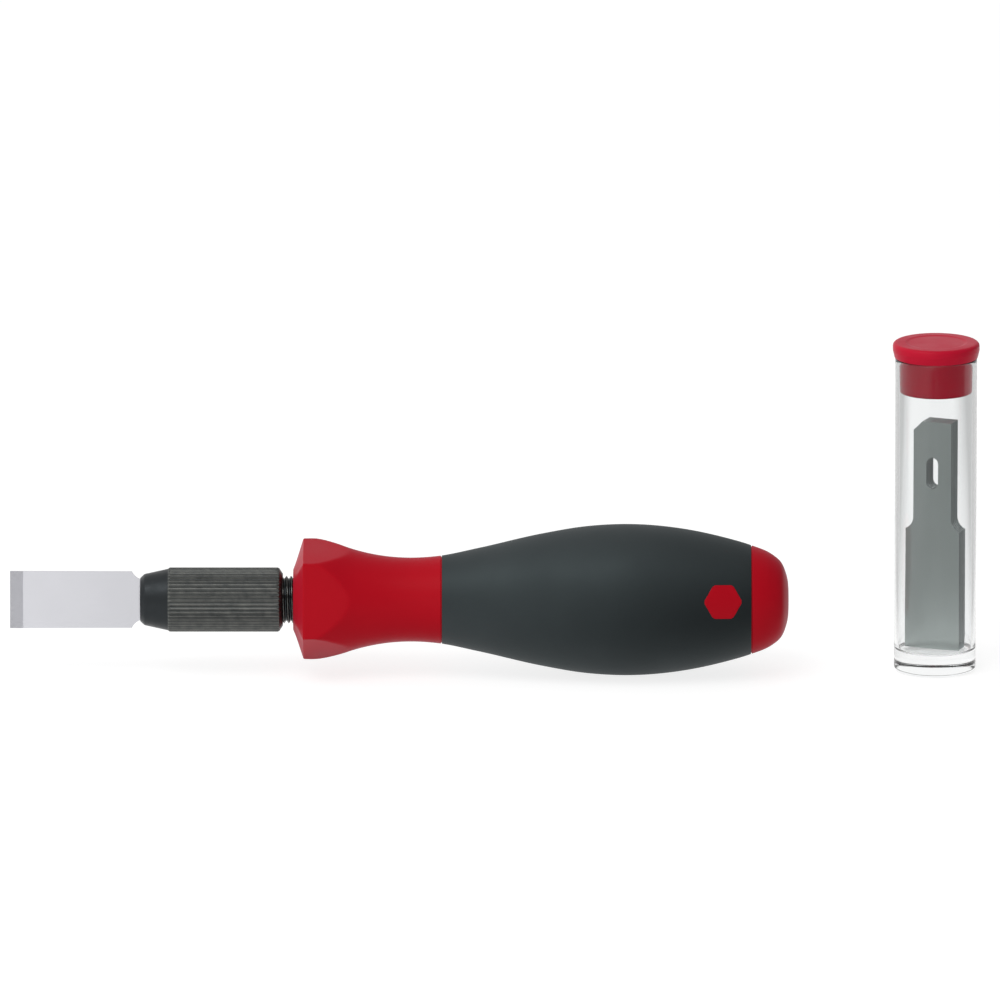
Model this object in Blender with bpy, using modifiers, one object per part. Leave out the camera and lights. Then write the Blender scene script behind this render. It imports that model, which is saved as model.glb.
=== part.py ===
"""Soft-grip scraper with a chisel blade in a collet chuck, and its tube of spare blades.

The tool lies on its belly with its axis along X and its blade towards -X. The tube of
spare blades stands beside its butt. Lengths are in metres and +Z is up.
"""

from math import cos, hypot, pi, radians, sin

import bmesh
import bpy
from mathutils import Matrix, Vector

# Clearances and finish
GAP = 0.0003
OVERRUN = 0.002
MERGE_DISTANCE = 0.00001
ROUND_STEPS = 36
CORNER_STEPS = 3
CURVE_STEPS = 3
STEM_STRIDE = 3

# Blade
BLADE_WIDTH = 0.0130
BLADE_THICKNESS = 0.00065
BLADE_BODY_LENGTH = 0.0277
BLADE_SHOULDER_LENGTH = 0.0016
SHANK_LENGTH = 0.0237
BLADE_SHOULDER_MIDDLE_ALONG_SHARE = 0.72
BLADE_SHOULDER_MIDDLE_ACROSS_SHARE = 0.4
SHANK_WIDTH = 0.0091
GRIND_LENGTH = 0.0031
EDGE_FLAT = 0.00005
TAIL_CHAMFER = 0.0022
BLADE_SLOT_WIDTH = 0.0028
BLADE_SLOT_LENGTH = 0.0073
BLADE_SLOT_FROM_TAIL = 0.0120

# Handle
HANDLE_LENGTH = 0.11255
BELLY_RADIUS = 0.01717
GRIP_WALL = 0.0030
FRONT_FACE_RADIUS = 0.0069
FRONT_CONE_LENGTH = 0.0021
COLLAR_EDGE_ROUNDING = 0.0004
FLAT_DISTANCE = 0.01176
FLATS_END = 0.0160
FLAT_SIDES = 5
FRONT_JOINT_SHARE = 0.2992
REAR_JOINT_SHARE = 0.9250
MARK_ACROSS_FLATS = 0.0078
MARK_PLACE_SHARE = 0.8664
# Each pair is a share of the handle's length and a share of its belly radius.
HANDLE_OUTLINE_SHARES = (
    (0.0270, 0.845),
    (0.0360, 0.847),
    (0.0493, 0.840),
    (0.0629, 0.812),
    (0.0822, 0.761),
    (0.1148, 0.682),
    (0.1462, 0.625),
    (0.1905, 0.574),
    (0.2341, 0.556),
    (0.2919, 0.578),
    (0.3728, 0.683),
    (0.5016, 0.875),
    (0.5913, 0.972),
    (0.6873, 1.000),
    (0.7757, 0.951),
    (0.8738, 0.819),
    (0.9218, 0.727),
    (0.9651, 0.608),
    (0.9841, 0.504),
    (0.9955, 0.335),
    (1.0000, 0.000),
)

# Chuck
SLEEVE_GAP_TO_HANDLE = 0.00235
SLEEVE_LENGTH = 0.0324
SLEEVE_WALL = 0.0020
SLEEVE_REAR_RIM = 0.0002
SLEEVE_REAR_CONE_LENGTH = 0.0008
SLEEVE_REAR_EDGE = 0.00035
NOSE_LENGTH = 0.0063
NOSE_RIM = 0.0002
NOSE_TIP_STEP = 0.0007
NOSE_TIP_LENGTH = 0.0011
NOSE_TIP_MIDDLE_ALONG_SHARE = 0.35
NOSE_TIP_MIDDLE_ACROSS_SHARE = 0.62
NOSE_BASE_STEP = 0.0003
KNURL_RIBS = 48
KNURL_DEPTH = 0.00028
KNURL_RUN_IN = 0.0004
THREAD_LENGTH = 0.0085
THREAD_PITCH = 0.0010
THREAD_DEPTH = 0.00045
THREAD_OVER_COLLET = 0.0004
THREAD_SEAT_DEPTH = 0.0012
SHANK_STEP = 0.0009
SHANK_ANCHOR_LENGTH = 0.0030
SHANK_ANCHOR_RISE = 0.0012
SHANK_IN_HANDLE = 0.0300
COLLET_RISE = 0.00045
COLLET_CONE_LENGTH = 0.0040
COLLET_LAND_LENGTH = 0.0040
COLLET_ARM_STEP = 0.00025
COLLET_RECESS = 0.00025
COLLET_TAIL_RADIUS = 0.0023
COLLET_TAIL_LENGTH = 0.0130
COLLET_CROSS_SLOT = 0.0008
TAIL_BORE_SPARE = 0.0025

# Tube of spare blades
SPARE_BLADES = 5
STACK_TURN = radians(-22)
STACK_ROOM = 0.00153
STACK_HEADSPACE = 0.0066
TUBE_WALL = 0.0009
TUBE_FLOOR = 0.0049
TUBE_BASE_ROUNDING = 0.0013
TUBE_BORE_ROUNDING = 0.0005
TUBE_RIM_ROUNDING = 0.0003
PLUG_DEPTH = 0.0080
PLUG_TAPER = 0.0002
CAP_FLANGE_HEIGHT = 0.0032
CAP_OVERHANG = 0.00055
CAP_BAND_HEIGHT = 0.0009
CAP_TAPER = 0.0004
CAP_RIM_ROUNDING = 0.0008
CAP_DISH_RIM = 0.0022
CAP_DISH_DEPTH = 0.0003

# How the set lies
TOOL_ROLL = radians(-11.5)
TUBE_FROM_BUTT = 0.03335
TUBE_BEHIND_AXIS = 0.0042

# Worked out: blade and chuck, along the tool's axis from the handle's front face
BLADE_LENGTH = BLADE_BODY_LENGTH + BLADE_SHOULDER_LENGTH + SHANK_LENGTH
SLEEVE_REAR = -SLEEVE_GAP_TO_HANDLE
SLEEVE_FRONT = SLEEVE_REAR - SLEEVE_LENGTH
BLADE_TAIL = SLEEVE_FRONT - GAP + SHANK_LENGTH
COLLET_FRONT = SLEEVE_FRONT + COLLET_RECESS
COLLET_FACE_RADIUS = SHANK_WIDTH / 2
COLLET_RADIUS = COLLET_FACE_RADIUS + COLLET_RISE
NOSE_OPENING_RADIUS = COLLET_FACE_RADIUS + GAP
SLEEVE_BORE_RADIUS = COLLET_RADIUS + GAP
SLEEVE_RADIUS = SLEEVE_BORE_RADIUS + SLEEVE_WALL
THREAD_RADIUS = COLLET_RADIUS + THREAD_OVER_COLLET
SPINDLE_SHANK_RADIUS = THREAD_RADIUS - SHANK_STEP
SPINDLE_FRONT = -THREAD_LENGTH
COLLET_BASE_FRONT = BLADE_TAIL + GAP
COLLET_BASE_REAR = SPINDLE_FRONT - GAP

# Worked out: tube and its contents
STACK_PITCH = BLADE_THICKNESS + GAP
STACK_THICKNESS = (SPARE_BLADES - 1) * STACK_PITCH + BLADE_THICKNESS
TUBE_BORE_RADIUS = hypot(BLADE_WIDTH / 2, STACK_THICKNESS / 2) + STACK_ROOM
TUBE_RADIUS = TUBE_BORE_RADIUS + TUBE_WALL
STACK_BOTTOM = TUBE_FLOOR + GAP
STACK_TOP = STACK_BOTTOM + BLADE_LENGTH
PLUG_BOTTOM = STACK_TOP + STACK_HEADSPACE
TUBE_HEIGHT = PLUG_BOTTOM + PLUG_DEPTH
CAP_RADIUS = TUBE_RADIUS + CAP_OVERHANG

# Worked out: the origin is at the middle of the set's footprint, whose width is the handle's
TUBE_ALONG = HANDLE_LENGTH + TUBE_FROM_BUTT
BLADE_EDGE = BLADE_TAIL - BLADE_LENGTH
MIDDLE_ALONG = (BLADE_EDGE + TUBE_ALONG + CAP_RADIUS) / 2
TOOL_PLACE = Vector((-MIDDLE_ALONG, 0, BELLY_RADIUS))
TUBE_PLACE = TOOL_PLACE + Vector((TUBE_ALONG, TUBE_BEHIND_AXIS, -BELLY_RADIUS))


def clear_scene():
    for existing in list(bpy.data.objects):
        bpy.data.objects.remove(existing, do_unlink=True)


def new_collection(name):
    collection = bpy.data.collections.new(name)
    bpy.context.scene.collection.children.link(collection)
    return collection


def material(name, colour, roughness, metallic=0.0, alpha=1.0):
    made = bpy.data.materials.new(name)
    made.use_nodes = True
    shader = made.node_tree.nodes["Principled BSDF"]
    shader.inputs["Base Color"].default_value = (*colour, 1.0)
    shader.inputs["Roughness"].default_value = roughness
    shader.inputs["Metallic"].default_value = metallic
    shader.inputs["Alpha"].default_value = alpha
    made.diffuse_color = (*colour, alpha)
    return made


def add_object(name, data, parent, collection, finish=None):
    made = bpy.data.objects.new(name, data)
    made.parent = parent
    collection.objects.link(made)
    if finish and not data.materials:
        data.materials.append(finish)
    return made


def turned(name, profile, parent, collection, finish=None, closed=False, steps=ROUND_STEPS):
    """A solid of revolution about the parent's Z axis, from (radius, along) points down its outer side."""
    mesh = bpy.data.meshes.new(name)
    count = len(profile)
    edges = [(i, i + 1) for i in range(count - 1)]
    if closed:
        edges.append((count - 1, 0))
    mesh.from_pydata([(radius, 0, along) for radius, along in profile], edges, [])
    made = add_object(name, mesh, parent, collection, finish)
    spin = made.modifiers.new("Turn", "SCREW")
    spin.axis = "Z"
    spin.steps = steps
    spin.render_steps = steps
    spin.use_merge_vertices = True
    spin.merge_threshold = MERGE_DISTANCE
    spin.use_smooth_shade = True
    return made


def cut(target, tool, operation):
    change = target.modifiers.new(tool.name, "BOOLEAN")
    change.operation = operation
    change.solver = "EXACT"
    change.object = tool


def as_cutter(made):
    made.hide_render = True
    made.display_type = "WIRE"
    return made


def box_cutter(name, size, centre, parent, collection):
    shape = bmesh.new()
    bmesh.ops.create_cube(shape, size=1)
    bmesh.ops.scale(shape, vec=size, verts=shape.verts)
    bmesh.ops.translate(shape, vec=centre, verts=shape.verts)
    mesh = bpy.data.meshes.new(name)
    shape.to_mesh(mesh)
    shape.free()
    return as_cutter(add_object(name, mesh, parent, collection))


def hexagonal_bar(name, across_flats, near, far, parent, collection):
    """A hexagonal bar from the tool's axis out to its face side, with a corner fore and aft."""
    shape = bmesh.new()
    bmesh.ops.create_cone(
        shape,
        cap_ends=True,
        segments=6,
        radius1=across_flats / 2 / cos(pi / 6),
        radius2=across_flats / 2 / cos(pi / 6),
        depth=far - near,
        matrix=Matrix.Rotation(pi / 2, 4, "X") @ Matrix.Rotation(pi / 6, 4, "Z"),
    )
    place = (0, -(near + far) / 2, MARK_PLACE_SHARE * HANDLE_LENGTH)
    bmesh.ops.translate(shape, vec=place, verts=shape.verts)
    mesh = bpy.data.meshes.new(name)
    shape.to_mesh(mesh)
    shape.free()
    return as_cutter(add_object(name, mesh, parent, collection))


def smooth_curve(points, steps):
    """Points along a smooth curve through the given (radius, along) points."""
    before = points[0] * 2 - points[1]
    after = points[-1] * 2 - points[-2]
    padded = [before, *points, after]
    curve = []
    for i in range(1, len(padded) - 2):
        p0, p1, p2, p3 = padded[i - 1 : i + 3]
        # The tangents are weighed by the spans beside them, so uneven spans don't bulge.
        span0 = (p1 - p0).length
        span1 = (p2 - p1).length
        span2 = (p3 - p2).length
        out = ((p1 - p0) / span0 * span1 + (p2 - p1) / span1 * span0) / (span0 + span1) * span1
        into = ((p2 - p1) / span1 * span2 + (p3 - p2) / span2 * span1) / (span1 + span2) * span1
        for step in range(steps):
            t = step / steps
            curve.append(
                p1 * (2 * t**3 - 3 * t**2 + 1)
                + out * (t**3 - 2 * t**2 + t)
                + p2 * (3 * t**2 - 2 * t**3)
                + into * (t**3 - t**2)
            )
    curve.append(points[-1].copy())
    return curve


def corner(radius, along, rounding, start, end):
    """Points of a quarter round about (radius, along), from angle start to angle end."""
    angles = [start + (end - start) * i / CORNER_STEPS for i in range(CORNER_STEPS + 1)]
    return [(radius + rounding * cos(a), along + rounding * sin(a)) for a in angles]


def handle_outline():
    """The handle's outline behind its front cone, as (radius, along) points from front to butt."""
    points = [
        Vector((radius_share * BELLY_RADIUS, place_share * HANDLE_LENGTH))
        for place_share, radius_share in HANDLE_OUTLINE_SHARES
    ]
    curve = smooth_curve(points, CURVE_STEPS)
    curve[-1].x = 0
    return curve


def outline_radius(outline, along):
    for near, far in zip(outline, outline[1:]):
        if near.y <= along < far.y:
            return near.x + (far.x - near.x) * (along - near.y) / (far.y - near.y)
    return outline[-1].x if along > outline[0].y else outline[0].x


def stretch(outline, start, end, inset=0):
    """The outline between two places, with a point at each, drawn in by inset."""
    places = [start, *(p.y for p in outline if start < p.y < end), end]
    return [(outline_radius(outline, place) - inset, place) for place in places]


def front_points(outline):
    """The handle's front face and cone, from the edge of the face back to the collar."""
    collar = outline[0]
    edge_radius = collar.x - COLLAR_EDGE_ROUNDING
    return [
        (FRONT_FACE_RADIUS, 0),
        (edge_radius, FRONT_CONE_LENGTH),
        (collar.x - COLLAR_EDGE_ROUNDING / 4, FRONT_CONE_LENGTH + COLLAR_EDGE_ROUNDING),
    ]


def spindle_bore():
    """The bore for the spindle, from the handle's front face in to its closed end on the axis."""
    seat_radius = THREAD_RADIUS + GAP
    shank_radius = SPINDLE_SHANK_RADIUS + GAP
    anchor_radius = shank_radius + SHANK_ANCHOR_RISE
    anchor_rear = SHANK_IN_HANDLE - SHANK_ANCHOR_LENGTH
    anchor_front = anchor_rear - SHANK_ANCHOR_LENGTH
    end = SHANK_IN_HANDLE + GAP
    return [
        (seat_radius, 0),
        (seat_radius, THREAD_SEAT_DEPTH + GAP),
        (shank_radius, THREAD_SEAT_DEPTH + GAP),
        (shank_radius, anchor_front - GAP),
        (anchor_radius, anchor_front - GAP),
        (anchor_radius, anchor_rear + GAP),
        (shank_radius, anchor_rear + GAP),
        (shank_radius, end),
        (0, end),
    ]


def handle_core(outline, parent, parts, cutters, finish):
    """The moulded core: collar, neck, the stem inside the grip, the domed butt and the hexagonal mark."""
    front_joint = FRONT_JOINT_SHARE * HANDLE_LENGTH
    rear_joint = REAR_JOINT_SHARE * HANDLE_LENGTH
    neck = stretch(outline, outline[0].y, front_joint)
    stem = stretch(outline, front_joint, rear_joint, GRIP_WALL)[::STEM_STRIDE]
    butt = stretch(outline, rear_joint, HANDLE_LENGTH)
    if stem[-1][1] < rear_joint:
        stem.append((outline_radius(outline, rear_joint) - GRIP_WALL, rear_joint))
    skin = front_points(outline) + neck + stem + butt
    profile = skin[::-1] + spindle_bore()
    core = turned("handle_core", profile, parent, parts, finish)

    flat_corner = FLAT_DISTANCE / cos(pi / FLAT_SIDES)
    past_belly = BELLY_RADIUS * 2
    flats = [
        (0, HANDLE_LENGTH + OVERRUN),
        (past_belly, HANDLE_LENGTH + OVERRUN),
        (past_belly, FLATS_END),
        (flat_corner, FLATS_END),
        (flat_corner, -OVERRUN),
        (0, -OVERRUN),
    ]
    flat_tool = as_cutter(turned("collar_flats", flats, parent, cutters, steps=FLAT_SIDES))
    # A turned shape starts with a corner on X, and one flat belongs on the face side, at -Y.
    flat_tool.rotation_euler.z = -pi / 2 - pi / FLAT_SIDES
    cut(core, flat_tool, "INTERSECT")

    whole = [(p.x, p.y) for p in outline if p.y > front_joint]
    whole = [(0, front_joint), (outline_radius(outline, front_joint), front_joint)] + whole
    envelope = turned("grip_envelope", whole[::-1], parent, cutters)
    stem_depth = outline_radius(outline, MARK_PLACE_SHARE * HANDLE_LENGTH) - GRIP_WALL
    boss = hexagonal_bar(
        "mark_boss", MARK_ACROSS_FLATS, stem_depth / 2, BELLY_RADIUS + OVERRUN, parent, cutters
    )
    cut(boss, as_cutter(envelope), "INTERSECT")
    cut(core, boss, "UNION")
    return core


def soft_grip(outline, parent, parts, cutters, finish):
    """The soft sleeve round the stem, with a hexagonal window for the core's mark."""
    front = FRONT_JOINT_SHARE * HANDLE_LENGTH + GAP
    rear = REAR_JOINT_SHARE * HANDLE_LENGTH - GAP
    outer = stretch(outline, front, rear)
    inner = stretch(outline, front, rear, GRIP_WALL - GAP)[::STEM_STRIDE]
    if inner[-1][1] < rear:
        inner.append((outline_radius(outline, rear) - GRIP_WALL + GAP, rear))
    grip = turned("soft_grip", outer[::-1] + inner, parent, parts, finish, closed=True)
    window = hexagonal_bar(
        "mark_window",
        MARK_ACROSS_FLATS + 2 * GAP,
        GRIP_WALL,
        BELLY_RADIUS + OVERRUN,
        parent,
        cutters,
    )
    cut(grip, window, "DIFFERENCE")
    return grip


def thread_points(start, end):
    """Ridges of the thread, from its rear end forward."""
    turns = int((end - start) / THREAD_PITCH)
    points = []
    for turn in range(turns):
        root = end - turn * THREAD_PITCH
        points.append((THREAD_RADIUS - THREAD_DEPTH, root))
        points.append((THREAD_RADIUS, root - THREAD_PITCH / 2))
    points.append((THREAD_RADIUS - THREAD_DEPTH, end - turns * THREAD_PITCH))
    return points


def chuck_spindle(parent, parts, finish):
    """The threaded spindle: anchored in the handle behind, open in front for the collet's tail."""
    anchor_radius = SPINDLE_SHANK_RADIUS + SHANK_ANCHOR_RISE
    anchor_rear = SHANK_IN_HANDLE - SHANK_ANCHOR_LENGTH
    anchor_front = anchor_rear - SHANK_ANCHOR_LENGTH
    bore_radius = COLLET_TAIL_RADIUS + GAP
    bore_end = COLLET_BASE_REAR + COLLET_TAIL_LENGTH + TAIL_BORE_SPARE
    profile = [
        (0, SHANK_IN_HANDLE),
        (SPINDLE_SHANK_RADIUS, SHANK_IN_HANDLE),
        (SPINDLE_SHANK_RADIUS, anchor_rear),
        (anchor_radius, anchor_rear),
        (anchor_radius, anchor_front),
        (SPINDLE_SHANK_RADIUS, anchor_front),
        (SPINDLE_SHANK_RADIUS, THREAD_SEAT_DEPTH),
        *thread_points(SPINDLE_FRONT, THREAD_SEAT_DEPTH),
        (THREAD_RADIUS - THREAD_DEPTH, SPINDLE_FRONT),
        (bore_radius, SPINDLE_FRONT),
        (bore_radius, bore_end),
        (0, bore_end),
    ]
    return turned("chuck_spindle", profile, parent, parts, finish)


def collet(parent, parts, cutters, finish):
    """Four jaws on one base, slotted across for the blade, with a tail that runs in the spindle."""
    cone_end = COLLET_FRONT + COLLET_CONE_LENGTH
    land_end = cone_end + COLLET_LAND_LENGTH
    arm_radius = COLLET_RADIUS - COLLET_ARM_STEP
    profile = [
        (0, COLLET_BASE_REAR + COLLET_TAIL_LENGTH),
        (COLLET_TAIL_RADIUS, COLLET_BASE_REAR + COLLET_TAIL_LENGTH),
        (COLLET_TAIL_RADIUS, COLLET_BASE_REAR),
        (arm_radius, COLLET_BASE_REAR),
        (arm_radius, land_end),
        (COLLET_RADIUS, land_end),
        (COLLET_RADIUS, cone_end),
        (COLLET_FACE_RADIUS, COLLET_FRONT),
        (0, COLLET_FRONT),
    ]
    made = turned("collet", profile, parent, parts, finish)
    slot_front = COLLET_FRONT - OVERRUN
    slot_length = COLLET_BASE_FRONT - slot_front
    slot_middle = (0, 0, slot_front + slot_length / 2)
    across = 2 * (COLLET_RADIUS + OVERRUN)
    blade_slot = (across, BLADE_THICKNESS + 2 * GAP, slot_length)
    cross_slot = (COLLET_CROSS_SLOT, across, slot_length)
    cut(made, box_cutter("blade_slot", blade_slot, slot_middle, parent, cutters), "DIFFERENCE")
    cut(made, box_cutter("cross_slot", cross_slot, slot_middle, parent, cutters), "DIFFERENCE")
    return made


def clamping_sleeve(parent, parts, cutters, finish):
    """The knurled sleeve: a conical nose that closes the jaws, and a bore that runs on the thread."""
    nose_base = SLEEVE_FRONT + NOSE_LENGTH
    face_radius = NOSE_OPENING_RADIUS + NOSE_RIM
    tip_radius = face_radius + NOSE_TIP_STEP
    tip_middle_radius = face_radius + NOSE_TIP_MIDDLE_ACROSS_SHARE * NOSE_TIP_STEP
    tip_middle = SLEEVE_FRONT + NOSE_TIP_MIDDLE_ALONG_SHARE * NOSE_TIP_LENGTH
    base_radius = SLEEVE_RADIUS - NOSE_BASE_STEP
    cone_rear = SLEEVE_REAR - SLEEVE_REAR_CONE_LENGTH
    thread_end = SPINDLE_FRONT - GAP
    cone_end = COLLET_FRONT + COLLET_CONE_LENGTH
    thread_bore = THREAD_RADIUS + GAP
    profile = [
        (thread_bore, SLEEVE_REAR),
        (thread_bore + SLEEVE_REAR_RIM, SLEEVE_REAR),
        (SLEEVE_RADIUS - SLEEVE_REAR_EDGE, cone_rear),
        (SLEEVE_RADIUS, cone_rear - SLEEVE_REAR_EDGE),
        (SLEEVE_RADIUS, nose_base + KNURL_RUN_IN),
        (base_radius, nose_base),
        (tip_radius, SLEEVE_FRONT + NOSE_TIP_LENGTH),
        (tip_middle_radius, tip_middle),
        (face_radius, SLEEVE_FRONT),
        (NOSE_OPENING_RADIUS, SLEEVE_FRONT),
        (NOSE_OPENING_RADIUS, COLLET_FRONT),
        (SLEEVE_BORE_RADIUS, cone_end),
        (SLEEVE_BORE_RADIUS, thread_end),
        (thread_bore, thread_end),
    ]
    steps = 2 * KNURL_RIBS
    sleeve = turned("clamping_sleeve", profile, parent, parts, finish, closed=True, steps=steps)
    cut(sleeve, knurl_tool(nose_base, parent, cutters), "INTERSECT")
    return sleeve


def knurl_tool(nose_base, parent, cutters):
    """A ribbed bar behind the nose that grows wider than the sleeve in front of it."""
    shape = bmesh.new()
    length = SLEEVE_REAR + OVERRUN - nose_base
    bmesh.ops.create_cone(
        shape,
        cap_ends=True,
        segments=2 * KNURL_RIBS,
        radius1=SLEEVE_RADIUS + GAP,
        radius2=SLEEVE_RADIUS + GAP,
        depth=length,
        matrix=Matrix.Translation((0, 0, nose_base + length / 2)),
    )
    valley = (SLEEVE_RADIUS - KNURL_DEPTH) / (SLEEVE_RADIUS + GAP)
    for vert in shape.verts:
        turn = round(Vector((vert.co.x, vert.co.y)).angle_signed(Vector((1, 0))) * KNURL_RIBS / pi)
        if turn % 2:
            vert.co.x *= valley
            vert.co.y *= valley
    front_face = min((f for f in shape.faces if len(f.verts) > 4), key=lambda f: f.calc_center_median().z)
    wide = SLEEVE_RADIUS + OVERRUN
    step_out = bmesh.ops.extrude_discrete_faces(shape, faces=[front_face])["faces"][0]
    for vert in step_out.verts:
        flat = Vector((vert.co.x, vert.co.y)).normalized() * wide
        vert.co.x, vert.co.y = flat
        vert.co.z = nose_base - KNURL_RUN_IN
    forward = bmesh.ops.extrude_discrete_faces(shape, faces=[step_out])["faces"][0]
    for vert in forward.verts:
        vert.co.z = SLEEVE_FRONT - OVERRUN
    mesh = bpy.data.meshes.new("knurl")
    shape.to_mesh(mesh)
    shape.free()
    return as_cutter(add_object("knurl", mesh, parent, cutters))


def blade_outline():
    """The blade's outline across and along it, from its tail at 0 to its edge."""
    half_shank = SHANK_WIDTH / 2
    half_width = BLADE_WIDTH / 2
    shoulder = -SHANK_LENGTH
    body = shoulder - BLADE_SHOULDER_LENGTH
    middle = shoulder - BLADE_SHOULDER_MIDDLE_ALONG_SHARE * BLADE_SHOULDER_LENGTH
    half_middle = half_shank + BLADE_SHOULDER_MIDDLE_ACROSS_SHARE * (half_width - half_shank)
    return [
        (half_shank - TAIL_CHAMFER, 0),
        (half_shank, -TAIL_CHAMFER),
        (half_shank, shoulder),
        (half_middle, middle),
        (half_width, body),
        (half_width, -BLADE_LENGTH),
        (-half_width, -BLADE_LENGTH),
        (-half_width, body),
        (-half_middle, middle),
        (-half_shank, shoulder),
        (-half_shank, 0),
    ]


def slot_outline():
    """The slot in the blade's shank: straight sides and round ends."""
    radius = BLADE_SLOT_WIDTH / 2
    reach = BLADE_SLOT_LENGTH / 2 - radius
    steps = 2 * CORNER_STEPS
    ends = []
    for side, start in ((1, 0), (-1, pi)):
        middle = -BLADE_SLOT_FROM_TAIL + side * reach
        angles = [start + pi * i / steps for i in range(steps + 1)]
        ends += [(radius * cos(a), middle + radius * sin(a)) for a in angles]
    return ends


def blade_mesh(collection, finish):
    """One blade's mesh, its width along X, its length along Z and its ground face towards -Y."""
    flat = bpy.data.curves.new("blade_outline", "CURVE")
    flat.dimensions = "2D"
    flat.fill_mode = "BOTH"
    flat.extrude = BLADE_THICKNESS / 2
    for outline in (blade_outline(), slot_outline()):
        spline = flat.splines.new("POLY")
        spline.points.add(len(outline) - 1)
        for point, (across, along) in zip(spline.points, outline):
            point.co = (across, along, 0, 1)
        spline.use_cyclic_u = True
    guide = add_object("blade_outline", flat, None, collection)
    graph = bpy.context.evaluated_depsgraph_get()
    mesh = bpy.data.meshes.new_from_object(guide.evaluated_get(graph))
    bpy.data.objects.remove(guide)

    shape = bmesh.new()
    shape.from_mesh(mesh)
    bmesh.ops.remove_doubles(shape, verts=shape.verts, dist=MERGE_DISTANCE)
    rise = BLADE_THICKNESS - EDGE_FLAT
    grind_start = Vector((0, GRIND_LENGTH - BLADE_LENGTH, BLADE_THICKNESS / 2))
    slope = Vector((0, -rise, GRIND_LENGTH)).normalized()
    bmesh.ops.bisect_plane(
        shape,
        geom=[*shape.verts, *shape.edges, *shape.faces],
        plane_co=grind_start,
        plane_no=slope,
        clear_outer=True,
    )
    bmesh.ops.holes_fill(shape, edges=shape.edges)
    bmesh.ops.rotate(shape, cent=(0, 0, 0), matrix=Matrix.Rotation(pi / 2, 3, "X"), verts=shape.verts)
    bmesh.ops.recalc_face_normals(shape, faces=shape.faces)
    shape.to_mesh(mesh)
    shape.free()
    mesh.materials.append(finish)
    return mesh


def storage_tube(parent, parts, finish):
    """The clear tube, open at the top, with a thick flat base."""
    base = TUBE_BASE_ROUNDING
    bore = TUBE_BORE_ROUNDING
    rim = TUBE_RIM_ROUNDING
    profile = [
        (TUBE_BORE_RADIUS, TUBE_HEIGHT),
        *corner(TUBE_RADIUS - rim, TUBE_HEIGHT - rim, rim, pi / 2, 0),
        *corner(TUBE_RADIUS - base, base, base, 0, -pi / 2),
        (0, 0),
    ]
    inside = [
        (0, TUBE_FLOOR),
        *corner(TUBE_BORE_RADIUS - bore, TUBE_FLOOR + bore, bore, -pi / 2, 0),
    ]
    return turned("storage_tube", inside + profile, parent, parts, finish)


def tube_cap(parent, parts, finish):
    """The push-in cap: a plug, a flange wider than the tube and a dished top."""
    plug_radius = TUBE_BORE_RADIUS - GAP
    flange_bottom = TUBE_HEIGHT + GAP
    top = flange_bottom + CAP_FLANGE_HEIGHT
    rounding = CAP_RIM_ROUNDING
    dish_radius = CAP_RADIUS - CAP_DISH_RIM
    profile = [
        (0, top - CAP_DISH_DEPTH),
        (dish_radius - CAP_DISH_DEPTH, top - CAP_DISH_DEPTH),
        (dish_radius, top),
        *corner(CAP_RADIUS - rounding, top - rounding, rounding, pi / 2, 0),
        (CAP_RADIUS, top - rounding - CAP_BAND_HEIGHT),
        (CAP_RADIUS - CAP_TAPER, flange_bottom),
        (plug_radius, flange_bottom),
        (plug_radius - PLUG_TAPER, PLUG_BOTTOM),
        (0, PLUG_BOTTOM),
    ]
    return turned("tube_cap", profile, parent, parts, finish)


def build_tool(parts, cutters, blade):
    axis = bpy.data.objects.new("tool_axis", None)
    parts.objects.link(axis)
    axis.matrix_world = (
        Matrix.Translation(TOOL_PLACE)
        @ Matrix.Rotation(TOOL_ROLL, 4, "X")
        @ Matrix.Rotation(pi / 2, 4, "Y")
    )
    red = material("red_moulding", (0.42, 0.012, 0.02), 0.35)
    black = material("soft_black", (0.035, 0.042, 0.043), 0.6)
    oxide = material("black_oxide_steel", (0.06, 0.062, 0.06), 0.4, metallic=0.9)
    steel = material("turned_steel", (0.5, 0.5, 0.5), 0.3, metallic=1.0)
    outline = handle_outline()
    handle_core(outline, axis, parts, cutters, red)
    soft_grip(outline, axis, parts, cutters, black)
    chuck_spindle(axis, parts, oxide)
    collet(axis, parts, cutters, steel)
    clamping_sleeve(axis, parts, cutters, oxide)
    fitted = add_object("blade", blade, axis, parts)
    fitted.location = (0, 0, BLADE_TAIL)


def build_tube(parts, blade):
    axis = bpy.data.objects.new("tube_axis", None)
    parts.objects.link(axis)
    axis.location = TUBE_PLACE
    clear = material("clear_plastic", (0.85, 0.9, 0.9), 0.05, alpha=0.3)
    red = material("red_cap", (0.42, 0.012, 0.02), 0.3)
    storage_tube(axis, parts, clear)
    tube_cap(axis, parts, red)
    turn = Matrix.Rotation(STACK_TURN, 3, "Z")
    for number in range(SPARE_BLADES):
        spare = add_object(f"spare_blade_{number + 1}", blade, axis, parts)
        behind = (number - (SPARE_BLADES - 1) / 2) * STACK_PITCH
        spare.location = turn @ Vector((0, behind, STACK_TOP))
        # The ground faces look to the back of the tube.
        spare.rotation_euler.z = STACK_TURN + pi


def main():
    clear_scene()
    parts = new_collection("scraper")
    cutters = new_collection("cutters")
    blade = blade_mesh(cutters, material("blade_steel", (0.55, 0.56, 0.58), 0.25, metallic=1.0))
    build_tool(parts, cutters, blade)
    build_tube(parts, blade)


main()
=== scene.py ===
"""The looks of a soft-grip scraper and its tube of spare blades, built around the packed frame.

Lengths are in metres and +Z is up, as in the frame. A turned piece's profile is made of
(radius, along) points. On the tool, along runs from the handle's front face back to its
butt, so the chuck and the blade lie at minus values. On the tube it runs up from the ground.
"""

from math import ceil, cos, floor, hypot, pi, radians, sin, sqrt, tan

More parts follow.
